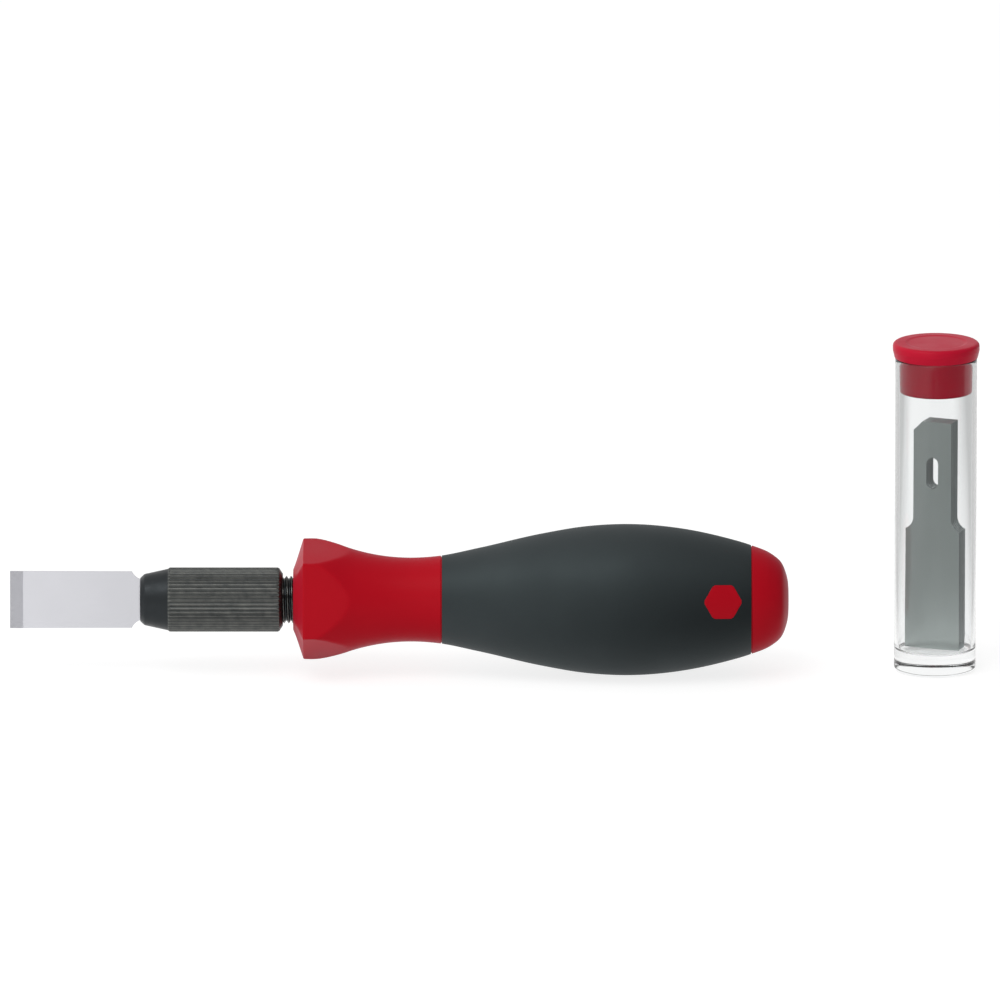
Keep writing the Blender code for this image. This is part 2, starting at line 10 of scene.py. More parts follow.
import bmesh
import bpy
from bpy.props import FloatProperty, FloatVectorProperty, IntProperty, PointerProperty
from mathutils import Matrix, Vector


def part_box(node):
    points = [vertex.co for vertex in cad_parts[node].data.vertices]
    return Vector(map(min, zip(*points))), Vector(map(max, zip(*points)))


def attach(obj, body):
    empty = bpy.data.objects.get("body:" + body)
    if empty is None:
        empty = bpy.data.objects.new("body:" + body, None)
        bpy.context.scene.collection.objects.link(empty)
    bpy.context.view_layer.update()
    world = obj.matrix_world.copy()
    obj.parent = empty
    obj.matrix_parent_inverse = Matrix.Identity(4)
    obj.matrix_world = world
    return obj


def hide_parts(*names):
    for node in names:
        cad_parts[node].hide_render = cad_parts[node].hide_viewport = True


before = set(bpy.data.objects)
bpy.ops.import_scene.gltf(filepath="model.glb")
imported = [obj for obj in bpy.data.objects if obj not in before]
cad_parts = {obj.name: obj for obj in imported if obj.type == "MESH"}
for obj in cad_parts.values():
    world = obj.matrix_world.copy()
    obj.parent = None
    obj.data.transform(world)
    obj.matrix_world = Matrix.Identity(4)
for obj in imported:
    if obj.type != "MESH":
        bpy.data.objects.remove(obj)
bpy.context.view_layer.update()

bl_info = {
    "name": "Blade Scraper Set",
    "version": (1, 0, 0),
    "blender": (4, 5, 0),
    "location": "View3D > Sidebar > Scraper",
    "description": "Builds the visible pieces of a blade scraper and its tube of spare blades",
    "category": "Object",
}

# Mesh fineness
MERGE_DISTANCE = 0.000002
ROUND_STEPS = 240
TUBE_STEPS = 160
SPINDLE_STEPS = 120
STEPS_PER_RIB = 10
SHOULDER_STEPS = 8
SLOT_STEPS = 12
CORNER_STEPS = 4
SMOOTH_ANGLE = radians(38)

# The frame's places
CORE_LOW, CORE_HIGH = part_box("handle_core")
GRIP_LOW, GRIP_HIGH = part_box("soft_grip")
SPINDLE_LOW, SPINDLE_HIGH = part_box("chuck_spindle")
SLEEVE_LOW, SLEEVE_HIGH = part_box("clamping_sleeve")
BLADE_LOW, BLADE_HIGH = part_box("blade")
TUBE_LOW, TUBE_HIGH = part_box("storage_tube")
CAP_LOW, CAP_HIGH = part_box("tube_cap")
FRONT_FACE = CORE_LOW.x

# The packed solids' clearance and the roll of the tool on its belly
GAP = 0.0003
TOOL_ROLL = radians(-11.5)
TOOL_AXIS = Vector((FRONT_FACE, (SLEEVE_LOW.y + SLEEVE_HIGH.y) / 2, (SLEEVE_LOW.z + SLEEVE_HIGH.z) / 2))
TOOL = Matrix.Translation(TOOL_AXIS) @ Matrix.Rotation(TOOL_ROLL, 4, "X") @ Matrix.Rotation(pi / 2, 4, "Y")
HANDLE_LENGTH = CORE_HIGH.x - FRONT_FACE
BELLY_RADIUS = TOOL_AXIS.z
FRONT_JOINT = GRIP_LOW.x - GAP - FRONT_FACE
REAR_JOINT = GRIP_HIGH.x + GAP - FRONT_FACE
SLEEVE_FRONT = SLEEVE_LOW.x - FRONT_FACE
SLEEVE_REAR = SLEEVE_HIGH.x - FRONT_FACE
SPINDLE_FRONT = SPINDLE_LOW.x - FRONT_FACE
SPINDLE_REAR = SPINDLE_HIGH.x - FRONT_FACE
COLLET_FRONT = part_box("collet")[0].x - FRONT_FACE
BLADE_TAIL = BLADE_HIGH.x - FRONT_FACE
BLADE_LENGTH = BLADE_HIGH.x - BLADE_LOW.x

# The frame's tube
TUBE_AXIS = Vector(((TUBE_LOW.x + TUBE_HIGH.x) / 2, (TUBE_LOW.y + TUBE_HIGH.y) / 2, 0))
TUBE = Matrix.Translation(TUBE_AXIS)
TUBE_RADIUS = (TUBE_HIGH.x - TUBE_LOW.x) / 2
TUBE_HEIGHT = TUBE_HIGH.z
CAP_RADIUS = (CAP_HIGH.x - CAP_LOW.x) / 2
SPARE_BLADES = 5
STACK_TURN = radians(-22)

# Each pair is a share of the handle's length and a share of its belly radius.
OUTLINE_SHARES = (
    (0.0270, 0.845),
    (0.0360, 0.847),
    (0.0493, 0.840),
    (0.0629, 0.812),
    (0.0822, 0.761),
    (0.1148, 0.682),
    (0.1462, 0.625),
    (0.1905, 0.574),
    (0.2341, 0.556),
    (0.2919, 0.578),
    (0.3728, 0.683),
    (0.5016, 0.875),
    (0.5913, 0.972),
    (0.6873, 1.000),
    (0.7757, 0.951),
    (0.8738, 0.819),
    (0.9218, 0.727),
    (0.9651, 0.608),
    (0.9841, 0.504),
    (0.9955, 0.335),
    (1.0000, 0.000),
)
OUTLINE_SPACING = 0.0005
HIDDEN_STRIDE = 8
FLAT_SIDES = 5
MARK_CELLS = 26


def linear(hexadecimal):
    """The linear colour of an sRGB hex value."""
    channels = [int(hexadecimal[i : i + 2], 16) / 255 for i in (0, 2, 4)]
    return tuple(c / 12.92 if c <= 0.04045 else ((c + 0.055) / 1.055) ** 2.4 for c in channels)


def length(name, description, default):
    """A setting in metres that is never below nought."""
    return FloatProperty(
        name=name, description=description, default=default, min=0, unit="LENGTH", precision=5
    )


def colour(name, description, hexadecimal):
    """A colour setting, from its sRGB hex value."""
    start = linear(hexadecimal)
    return FloatVectorProperty(
        name=name, description=description, default=start, size=3, min=0, max=1, subtype="COLOR"
    )


def light_level(name, description, default):
    """A level of light as a share of white."""
    return FloatProperty(
        name=name, description=description, default=default, min=0, max=1, subtype="FACTOR"
    )


def lamp_power(name, description, default):
    """A lamp's power in watts."""
    return FloatProperty(name=name, description=description, default=default, min=0, subtype="POWER")


class HandleSettings(bpy.types.PropertyGroup):
    """Sizes and colours of the handle"""

    joint_gap: length("Joint Gap", "Width of the groove between the red moulding and the grip", 0.00024)
    joint_depth: length("Joint Depth", "Depth of that groove", 0.00022)
    joint_rounding: length("Joint Rounding", "Rounding of the edges that meet there", 0.00010)
    grip_wall: length("Grip Wall", "Thickness of the soft grip over the core", 0.0030)
    face_radius: length("Face Radius", "Radius of the flat face that the chuck comes out of", 0.0069)
    cone_length: length("Cone Length", "Length of the cone in front of the collar", 0.0023)
    collar_rounding: length("Collar Rounding", "Rounding of the collar's front edge", 0.0006)
    flat_distance: length("Flat Distance", "Distance of the collar's flats from the axis", 0.01176)
    flats_end: length("Flats End", "How far back the flats are pressed into the collar", 0.0160)
    flat_softness: length("Flat Softness", "Rounding of the edges of the collar's flats", 0.00025)
    mark_size: length("Mark Size", "The hexagonal mark's width across its flats", 0.0078)
    mark_place: length(
        "Mark Place", "The mark's distance from the handle's front face", 0.8664 * HANDLE_LENGTH
    )
    mark_rise: length("Mark Rise", "How far the mark stands proud of the grip", 0.00005)
    red: colour("Moulding Colour", "Colour of the red plastic", "BE0E1F")
    grip: colour("Grip Colour", "Colour of the soft grip", "0F1114")


class ChuckSettings(bpy.types.PropertyGroup):
    """Sizes and colours of the chuck"""

    ribs: IntProperty(name="Ribs", description="Ribs round the clamping sleeve", default=48, min=12, max=90)
    rib_depth: length("Rib Depth", "Depth of the grooves between the ribs", 0.00022)
    nose_length: length("Nose Length", "Length of the sleeve's smooth conical nose", 0.0063)
    thread_pitch: length("Thread Pitch", "Distance from one thread crest to the next", 0.0010)
    thread_depth: length("Thread Depth", "Height of the thread's crests", 0.00055)
    oxide: colour("Oxide Colour", "Colour of the blackened steel", "323537")
    # The crests' lighter colour is partly wear and partly a painted highlight.
    worn_and_highlight: colour("Worn Colour", "Colour of the ribs' rubbed crests", "72736F")
    collet: colour("Collet Colour", "Colour of the collet's turned steel", "8C8C8A")


class BladeSettings(bpy.types.PropertyGroup):
    """Sizes and colours of the blades"""

    grind_length: length("Grind Length", "Length of the ground slope behind the cutting edge", 0.0031)
    shoulder_radius: length(
        "Shoulder Radius", "Radius of the hollow between the shank and the shoulders", 0.0030
    )
    edge_round: length("Edge Round", "Broken edge along the blade's outline", 0.00004)
    flat: colour("Flat Colour", "Colour of the fitted blade's polished flat", "DADADF")
    grind: colour("Grind Colour", "Colour of the ground slope", "DADAE0")
    # The sides are painted darker than the flats, as painted shade.
    side: colour("Side Colour", "Colour of the sides, which keep the finish of the blanked strip", "7C8282")
    # The spare blades are the fitted blade's steel painted darker, as painted shade inside the tube.
    spare: colour("Spare Colour", "Colour of the spare blades under their film of oil", "B0B8B6")


class TubeSettings(bpy.types.PropertyGroup):
    """Sizes and colours of the storage tube"""

    wall: length("Wall", "Thickness of the tube's wall", 0.0009)
    floor: length("Floor", "Height of the tube's inner floor", 0.0049)
    dish_depth: length("Dish Depth", "Depth of the dish in the cap's top", 0.00015)
    clear: colour("Tube Colour", "Tint of the clear plastic", "F7F8F8")
    cap: colour("Cap Colour", "Colour of the cap's plastic", "C41531")


class StageSettings(bpy.types.PropertyGroup):
    """The camera, the floor and the light"""

    lens: FloatProperty(
        name="Lens", description="Focal length of the camera", default=760, subtype="DISTANCE_CAMERA"
    )
    distance: length("Camera Distance", "Distance from the camera to the point that it looks at", 4.7968)
    elevation: FloatProperty(
        name="Camera Height",
        description="Angle of the camera above level",
        default=radians(13.6),
        subtype="ANGLE",
    )
    aim: FloatVectorProperty(
        name="Aim",
        description="The point that the camera looks at",
        default=(0.00128, 0.00529, 0.03916),
        size=3,
        precision=5,
        subtype="XYZ_LENGTH",
    )
    key_power: lamp_power("Key Light", "Power of the large lamp", 2.6)
    fill_power: lamp_power("Fill Light", "Power of the front lamp", 0.37)
    surroundings: light_level("Room Light", "Light from the pale room all round", 0.85)
    fall_off: light_level("Light Fall-off", "Share of the room's light at the far right", 0.22)
    card: light_level("Front Card", "Share of the room's light that metal mirrors from the front", 0.15)
    front_left: light_level("Front Left", "Level of the front floor at the left, seen in metal", 1.0)
    front_right: light_level("Front Right", "Level of the front floor at the right, seen in metal", 0.02)
    front_through: light_level("Front Through", "Level of the front floor, seen through the tube", 0.85)
    edge_shade: light_level("Edge Shade", "Level of the floor beside the tube, seen through it", 0.55)
    floor: colour("Floor Colour", "Colour of the floor", "F2F2F2")


# Materials

# Most values of a noise texture lie in this span.
NOISE_SPAN = {"From Min": 0.3, "From Max": 0.7}


def add_node(tree, kind, inputs=None, **settings):
    """Adds a node. Settings are its properties, and each input takes a value or another node's output."""
    node = tree.nodes.new(kind)
    for name, value in settings.items():
        setattr(node, name, value)
    for socket, value in (inputs or {}).items():
        if isinstance(value, bpy.types.NodeSocket):
            tree.links.new(value, node.inputs[socket])
        else:
            node.inputs[socket].default_value = value
    return node


def surface(name, shader_inputs):
    """A new material whose shader has the given values, with its tree and its Object coordinates."""
    made = bpy.data.materials.new(name)
    made.use_nodes = True
    tree = made.node_tree
    tree.nodes.clear()
    shader = add_node(tree, "ShaderNodeBsdfPrincipled", shader_inputs)
    add_node(tree, "ShaderNodeOutputMaterial", {"Surface": shader.outputs[0]})
    place = add_node(tree, "ShaderNodeTexCoord").outputs["Object"]
    return made, tree, shader, place


def link_finish(tree, shader, gloss, bump, tint=None):
    """Links what varies over a surface to its shader."""
    if tint:
        tree.links.new(tint.outputs[2], shader.inputs["Base Color"])
    tree.links.new(gloss.outputs[0], shader.inputs["Roughness"])
    tree.links.new(bump.outputs[0], shader.inputs["Normal"])


def by_ray(tree, path, value, choices):
    """A value that depends on the kind of ray, where a later choice overrules those before it."""
    for ray, choice in choices:
        chosen = add_node(
            tree, "ShaderNodeMapRange", {"Value": path[ray], "To Min": value, "To Max": choice}
        )
        value = chosen.outputs[0]
    return value


def red_moulded_plastic(settings):
    """Injection-moulded polypropylene: satin, from the fine spark-eroded texture of its mould."""
    made, tree, shader, place = surface(
        "red_moulded_polypropylene",
        {
            "IOR": 1.49,
            "Metallic": 0.0,
            "Specular IOR Level": 0.06,
            "Sheen Weight": 0.07,
            "Sheen Roughness": 0.5,
            "Sheen Tint": (1.0, 0.35, 0.7, 1),
        },
    )
    # The eroded texture has 0.25 mm pits, two to a noise cell. Handling changes the gloss slowly.
    pit_cell, handling_cell = 0.00050, 0.018
    pits = add_node(tree, "ShaderNodeTexNoise", {"Vector": place, "Scale": 1 / pit_cell, "Detail": 2.0})
    handling = add_node(
        tree, "ShaderNodeTexNoise", {"Vector": place, "Scale": 1 / handling_cell, "Detail": 3.0}
    )
    gloss = add_node(
        tree,
        "ShaderNodeMapRange",
        {"Value": handling.outputs["Fac"], **NOISE_SPAN, "To Min": 0.34, "To Max": 0.46},
    )
    deep = [c * 0.86 for c in settings.red]
    tint = add_node(
        tree,
        "ShaderNodeMix",
        {0: handling.outputs["Fac"], 6: (*deep, 1), 7: (*settings.red, 1)},
        data_type="RGBA",
    )
    bump = add_node(
        tree, "ShaderNodeBump", {"Height": pits.outputs["Fac"], "Strength": 0.25, "Distance": 0.00003}
    )
    link_finish(tree, shader, gloss, bump, tint)
    return made


def soft_touch_elastomer(settings):
    """Thermoplastic elastomer moulded over the core: matt, with a fine grain and a cool gloss."""
    made, tree, shader, place = surface(
        "soft_touch_elastomer",
        {
            "IOR": 1.5,
            "Metallic": 0.0,
            "Specular IOR Level": 0.75,
            "Sheen Weight": 0.02,
            "Sheen Roughness": 0.45,
            "Sheen Tint": (0.8, 0.9, 0.9, 1),
            "Specular Tint": (0.80, 0.98, 1.0, 1),
        },
    )
    # The mould's grain is 0.2 mm across. It is drawn at 0.35 mm, two to a noise cell, to show at all.
    grain_cell, rub_cell = 0.00070, 0.022
    grain = add_node(tree, "ShaderNodeTexNoise", {"Vector": place, "Scale": 1 / grain_cell, "Detail": 3.0})
    rubbed = add_node(tree, "ShaderNodeTexNoise", {"Vector": place, "Scale": 1 / rub_cell, "Detail": 3.0})
    gloss = add_node(
        tree,
        "ShaderNodeMapRange",
        {"Value": rubbed.outputs["Fac"], **NOISE_SPAN, "To Min": 0.60, "To Max": 0.70},
    )
    pale = [c * 1.35 for c in settings.grip]
    tint = add_node(
        tree,
        "ShaderNodeMix",
        {0: grain.outputs["Fac"], 6: (*settings.grip, 1), 7: (*pale, 1)},
        data_type="RGBA",
    )
    bump = add_node(
        tree, "ShaderNodeBump", {"Height": grain.outputs["Fac"], "Strength": 0.3, "Distance": 0.00004}
    )
    link_finish(tree, shader, gloss, bump, tint)
    return made


def black_oxide_steel(settings, name, roughness):
    """Turned and knurled steel, blackened in hot oxide salts: dark, with crests painted lighter, partly for
    wear and partly as a painted highlight.
    """
    made, tree, shader, place = surface(name, {"Metallic": 0.92})
    # The lathe's feed leaves rings 0.1 mm apart. They are drawn at 0.3 mm, so that they show.
    ring_width, ring_run, mottle_cell = 0.0003, 0.02, 0.0016
    rings_place = add_node(
        tree, "ShaderNodeMapping", {"Vector": place, "Scale": (1 / ring_width, 1 / ring_run, 1 / ring_run)}
    )
    rings = add_node(
        tree, "ShaderNodeTexNoise", {"Vector": rings_place.outputs[0], "Scale": 1.0, "Detail": 2.0}
    )
    mottle = add_node(
        tree, "ShaderNodeTexNoise", {"Vector": place, "Scale": 1 / mottle_cell, "Detail": 4.0}
    )
    # The crest attribute is how exposed to rubbing each place on the ribs and the thread is.
    # It also paints a highlight on the crests and painted shade in the grooves.
    crest = add_node(tree, "ShaderNodeAttribute", attribute_name="crest")
    rub_and_highlight = add_node(
        tree,
        "ShaderNodeMath",
        {0: crest.outputs["Fac"], 1: mottle.outputs["Fac"]},
        operation="MULTIPLY",
    )
    rubbed = add_node(
        tree, "ShaderNodeMapRange", {"Value": rub_and_highlight.outputs[0], "From Min": 0.0, "From Max": 0.80}
    )
    tint = add_node(
        tree,
        "ShaderNodeMix",
        {0: rubbed.outputs[0], 6: (*settings.oxide, 1), 7: (*settings.worn_and_highlight, 1)},
        data_type="RGBA",
    )
    gloss = add_node(
        tree,
        "ShaderNodeMapRange",
        {
            "Value": mottle.outputs["Fac"],
            **NOISE_SPAN,
            "To Min": roughness * 0.85,
            "To Max": roughness * 1.15,
        },
    )
    bump = add_node(
        tree, "ShaderNodeBump", {"Height": rings.outputs["Fac"], "Strength": 0.22, "Distance": 0.00002}
    )
    link_finish(tree, shader, gloss, bump, tint)
    return made


def turned_steel(settings):
    """Bright steel turned on a lathe: fine rings round its axis."""
    made, tree, shader, place = surface("turned_steel", {"Metallic": 1.0})
    ring_width, ring_run = 0.0002, 0.02
    rings_place = add_node(
        tree, "ShaderNodeMapping", {"Vector": place, "Scale": (1 / ring_width, 1 / ring_run, 1 / ring_run)}
    )
    rings = add_node(
        tree, "ShaderNodeTexNoise", {"Vector": rings_place.outputs[0], "Scale": 1.0, "Detail": 2.0}
    )
    gloss = add_node(
        tree,
        "ShaderNodeMapRange",
        {"Value": rings.outputs["Fac"], **NOISE_SPAN, "To Min": 0.25, "To Max": 0.4},
    )
    bump = add_node(
        tree, "ShaderNodeBump", {"Height": rings.outputs["Fac"], "Strength": 0.3, "Distance": 0.00002}
    )
    shader.inputs["Base Color"].default_value = (*settings.collet, 1)
    link_finish(tree, shader, gloss, bump)
    return made


def ground_steel(name, base, roughness, scratch_width, turn, upright=False):
    """Hardened tool steel, surface-ground: fine scratches along the blade, and a sheen that shifts slowly.

    turn lines the scratches up with the blade, which runs along X, or along Z where it is upright.
    """
    made, tree, shader, place = surface(name, {"Metallic": 1.0})
    # The grit leaves scratches 0.05 mm wide and some millimetres long, drawn wider so that they show.
    scratch_run, sheen_cell = 0.009, 0.009
    straight = add_node(
        tree, "ShaderNodeMapping", {"Vector": place, "Rotation": turn}, vector_type="TEXTURE"
    )
    long, across = 1 / scratch_run, 1 / scratch_width
    scale = (across, across, long) if upright else (long, across, across)
    drawn = add_node(tree, "ShaderNodeMapping", {"Vector": straight.outputs[0], "Scale": scale})
    scratches = add_node(
        tree, "ShaderNodeTexNoise", {"Vector": drawn.outputs[0], "Scale": 1.0, "Detail": 3.0}
    )
    sheen = add_node(tree, "ShaderNodeTexNoise", {"Vector": place, "Scale": 1 / sheen_cell, "Detail": 2.0})
    gloss = add_node(
        tree,
        "ShaderNodeMapRange",
        {
            "Value": scratches.outputs["Fac"],
            **NOISE_SPAN,
            "To Min": roughness * 0.92,
            "To Max": roughness * 1.1,
        },
    )
    shade = add_node(
        tree,
        "ShaderNodeMath",
        {0: scratches.outputs["Fac"], 1: sheen.outputs["Fac"]},
        operation="ADD",
    )
    blend = add_node(
        tree, "ShaderNodeMapRange", {"Value": shade.outputs[0], "From Min": 0.6, "From Max": 1.4}
    )
    dark = [c * 0.95 for c in base]
    tint = add_node(
        tree, "ShaderNodeMix", {0: blend.outputs[0], 6: (*dark, 1), 7: (*base, 1)}, data_type="RGBA"
    )
    bump = add_node(
        tree, "ShaderNodeBump", {"Height": scratches.outputs["Fac"], "Strength": 0.03, "Distance": 0.00001}
    )
    link_finish(tree, shader, gloss, bump, tint)
    return made


def clear_polystyrene(settings):
    """Injection-moulded crystal polystyrene: clear, a little wavy where the melt flowed round the core."""
    made, tree, shader, place = surface(
        "clear_polystyrene",
        {
            "Base Color": (*settings.clear, 1),
            "IOR": 1.57,
            "Roughness": 0.02,
            "Metallic": 0.0,
            "Specular Tint": (0.4, 0.4, 0.4, 1),
            "Transmission Weight": 1.0,
        },
    )
    wave_width, wave_run = 0.006, 0.03
    flow_place = add_node(
        tree, "ShaderNodeMapping", {"Vector": place, "Scale": (1 / wave_width, 1 / wave_width, 1 / wave_run)}
    )
    flow = add_node(
        tree, "ShaderNodeTexNoise", {"Vector": flow_place.outputs[0], "Scale": 1.0, "Detail": 1.0}
    )
    bump = add_node(
        tree, "ShaderNodeBump", {"Height": flow.outputs["Fac"], "Strength": 0.12, "Distance": 0.0003}
    )
    tree.links.new(bump.outputs[0], shader.inputs["Normal"])
    return made


def red_moulded_cap(settings):
    """Injection-moulded polyethylene: waxy, so light softens a little way into it."""
    made, tree, shader, place = surface(
        "red_moulded_polyethylene",
        {
            "IOR": 1.51,
            "Metallic": 0.0,
            "Specular IOR Level": 0.08,
            "Sheen Weight": 0.07,
            "Sheen Roughness": 0.5,
            "Sheen Tint": (1.0, 0.35, 0.7, 1),
            "Subsurface Weight": 0.12,
            "Subsurface Radius": (0.0012, 0.0004, 0.0004),
            "Subsurface Scale": 1.0,
        },
    )
    # The mould's grain is 0.3 mm across, two to a noise cell, and the wax blooms in patches.
    grain_cell, bloom_cell = 0.0006, 0.007
    grain = add_node(tree, "ShaderNodeTexNoise", {"Vector": place, "Scale": 1 / grain_cell, "Detail": 2.0})
    waxy = add_node(tree, "ShaderNodeTexNoise", {"Vector": place, "Scale": 1 / bloom_cell, "Detail": 2.0})
    gloss = add_node(
        tree,
        "ShaderNodeMapRange",
        {"Value": waxy.outputs["Fac"], **NOISE_SPAN, "To Min": 0.30, "To Max": 0.42},
    )
    bump = add_node(
        tree, "ShaderNodeBump", {"Height": grain.outputs["Fac"], "Strength": 0.2, "Distance": 0.00003}
    )
    shader.inputs["Base Color"].default_value = (*settings.cap, 1)
    link_finish(tree, shader, gloss, bump)
    return made


# Shapes


def smooth_curve(points, spacing):
    """Points along a smooth curve through the given ones, which meets the axis squarely at its end."""
    before = points[0] * 2 - points[1]
    after = Vector((-points[-2].x, points[-2].y))
    padded = [before, *points, after]
    curve = []
    for i in range(1, len(padded) - 2):
        p0, p1, p2, p3 = padded[i - 1 : i + 3]
        # The tangents are weighted by the spans beside them, so uneven spans don't bulge.
        span0 = (p1 - p0).length
        span1 = (p2 - p1).length
        span2 = (p3 - p2).length
        out = ((p1 - p0) / span0 * span1 + (p2 - p1) / span1 * span0) / (span0 + span1) * span1
        into = ((p2 - p1) / span1 * span2 + (p3 - p2) / span2 * span1) / (span1 + span2) * span1
        steps = ceil(span1 / spacing)
        for step in range(steps):
            t = step / steps
            curve.append(
                p1 * (2 * t**3 - 3 * t**2 + 1)
                + out * (t**3 - 2 * t**2 + t)
                + p2 * (3 * t**2 - 2 * t**3)
                + into * (t**3 - t**2)
            )
    curve.append(points[-1].copy())
    return curve


def handle_outline():
    """The handle's outline behind its front cone, from the collar to the middle of the butt."""
    points = [Vector((radius * BELLY_RADIUS, place * HANDLE_LENGTH)) for place, radius in OUTLINE_SHARES]
    curve = smooth_curve(points, OUTLINE_SPACING)
    curve[-1].x = 0
    return curve


def outline_radius(outline, along):
    """The outline's radius at a place along it."""
    for near, far in zip(outline, outline[1:]):
        if near.y <= along < far.y:
            return near.x + (far.x - near.x) * (along - near.y) / (far.y - near.y)
    return outline[-1].x if along > outline[0].y else outline[0].x


def stretch(outline, start, end, inset=0.0):
    """The outline between two places, with a point at each, drawn in by inset."""
    places = [start, *(p.y for p in outline if start < p.y < end), end]
    return [(outline_radius(outline, place) - inset, place) for place in places]


def thinned(points):
    """The points with only some kept between the ends, for a wall that stays hidden."""
    return points[:1] + points[HIDDEN_STRIDE:-HIDDEN_STRIDE:HIDDEN_STRIDE] + points[-1:]


def sharp(points):
    """The points as corners without a rounding."""
    return [(radius, along, 0) for radius, along in points]


def rounded(corners, closed=False):
    """Points through (x, y, rounding) corners, with a round arc at each corner that has a rounding."""
    points = []
    count = len(corners)
    for i, (x, y, rounding) in enumerate(corners):
        here = Vector((x, y))
        if not rounding or (not closed and i in (0, count - 1)):
            points.append(here)
            continue
        before = Vector(corners[i - 1][:2]) - here
        after = Vector(corners[(i + 1) % count][:2]) - here
        inside = before.angle(after)
        reach = min(rounding / tan(inside / 2), before.length * 0.49, after.length * 0.49)
        start = here + before.normalized() * reach
        end = here + after.normalized() * reach
        weight = sin(inside / 2)
        for step in range(CORNER_STEPS + 1):
            t = step / CORNER_STEPS
            near, mid, far = (1 - t) ** 2, 2 * weight * t * (1 - t), t**2
            points.append((start * near + here * mid + end * far) / (near + mid + far))
    return [(point.x, point.y) for point in points]


def divided(points, start, end, spacing):
    """The profile with more points on its spans between two places along it."""
    finer = [points[0]]
    for (near_x, near_y), (far_x, far_y) in zip(points, points[1:]):
        if start - MERGE_DISTANCE <= min(near_y, far_y) and max(near_y, far_y) <= end + MERGE_DISTANCE:
            parts = max(1, ceil(hypot(far_x - near_x, far_y - near_y) / spacing))
            for part in range(1, parts):
                t = part / parts
                finer.append((near_x + (far_x - near_x) * t, near_y + (far_y - near_y) * t))
        finer.append((far_x, far_y))
    return finer


def spun(profile, steps, closed=False):
    """A solid of revolution about Z, from a profile that runs from axis to axis or closes on itself."""
    shape = bmesh.new()
    verts = [shape.verts.new((radius, 0, along)) for radius, along in profile]
    ends = list(zip(verts, verts[1:]))
    if closed:
        ends.append((verts[-1], verts[0]))
    edges = [shape.edges.new(pair) for pair in ends]
    bmesh.ops.spin(
        shape, geom=verts + edges, cent=(0, 0, 0), axis=(0, 0, 1), angle=2 * pi, steps=steps, use_merge=True
    )
    bmesh.ops.remove_doubles(shape, verts=shape.verts, dist=MERGE_DISTANCE)
    bmesh.ops.recalc_face_normals(shape, faces=shape.faces)
    return shape


def pressed(radius, limit, softness):
    """The smaller of two radii, with a rounded edge where one takes over from the other."""
    reach = max(softness - abs(radius - limit), 0)
    return min(radius, limit) - reach * reach / (4 * softness)


def move_radially(shape, new_radius):
    """Moves each vertex to the radius that new_radius(radius, along, turn, vert) gives."""
    for vert in shape.verts:
        radius = hypot(vert.co.x, vert.co.y)
        if radius < MERGE_DISTANCE:
            continue
        turn = Vector((1, 0)).angle_signed(Vector((vert.co.x, vert.co.y)))
        change = new_radius(radius, vert.co.z, -turn, vert) / radius
        vert.co.x *= change
        vert.co.y *= change


def add_piece(name, shape, place, finishes, body, nodes=()):
    """Puts a shape in its place in the mesh, and says what it rides on, stands for and is made of."""
    for face in shape.faces:
        face.smooth = True
    bmesh.ops.transform(shape, matrix=place, verts=shape.verts)
    mesh = bpy.data.meshes.new(name)
    shape.to_mesh(mesh)
    shape.free()
    mesh.set_sharp_from_angle(angle=SMOOTH_ANGLE)
    for finish in finishes:
        mesh.materials.append(finish)
    piece = bpy.data.objects.new(name, mesh)
    bpy.context.scene.collection.objects.link(piece)
    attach(piece, body)
    if nodes:
        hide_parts(*nodes)


# Operators


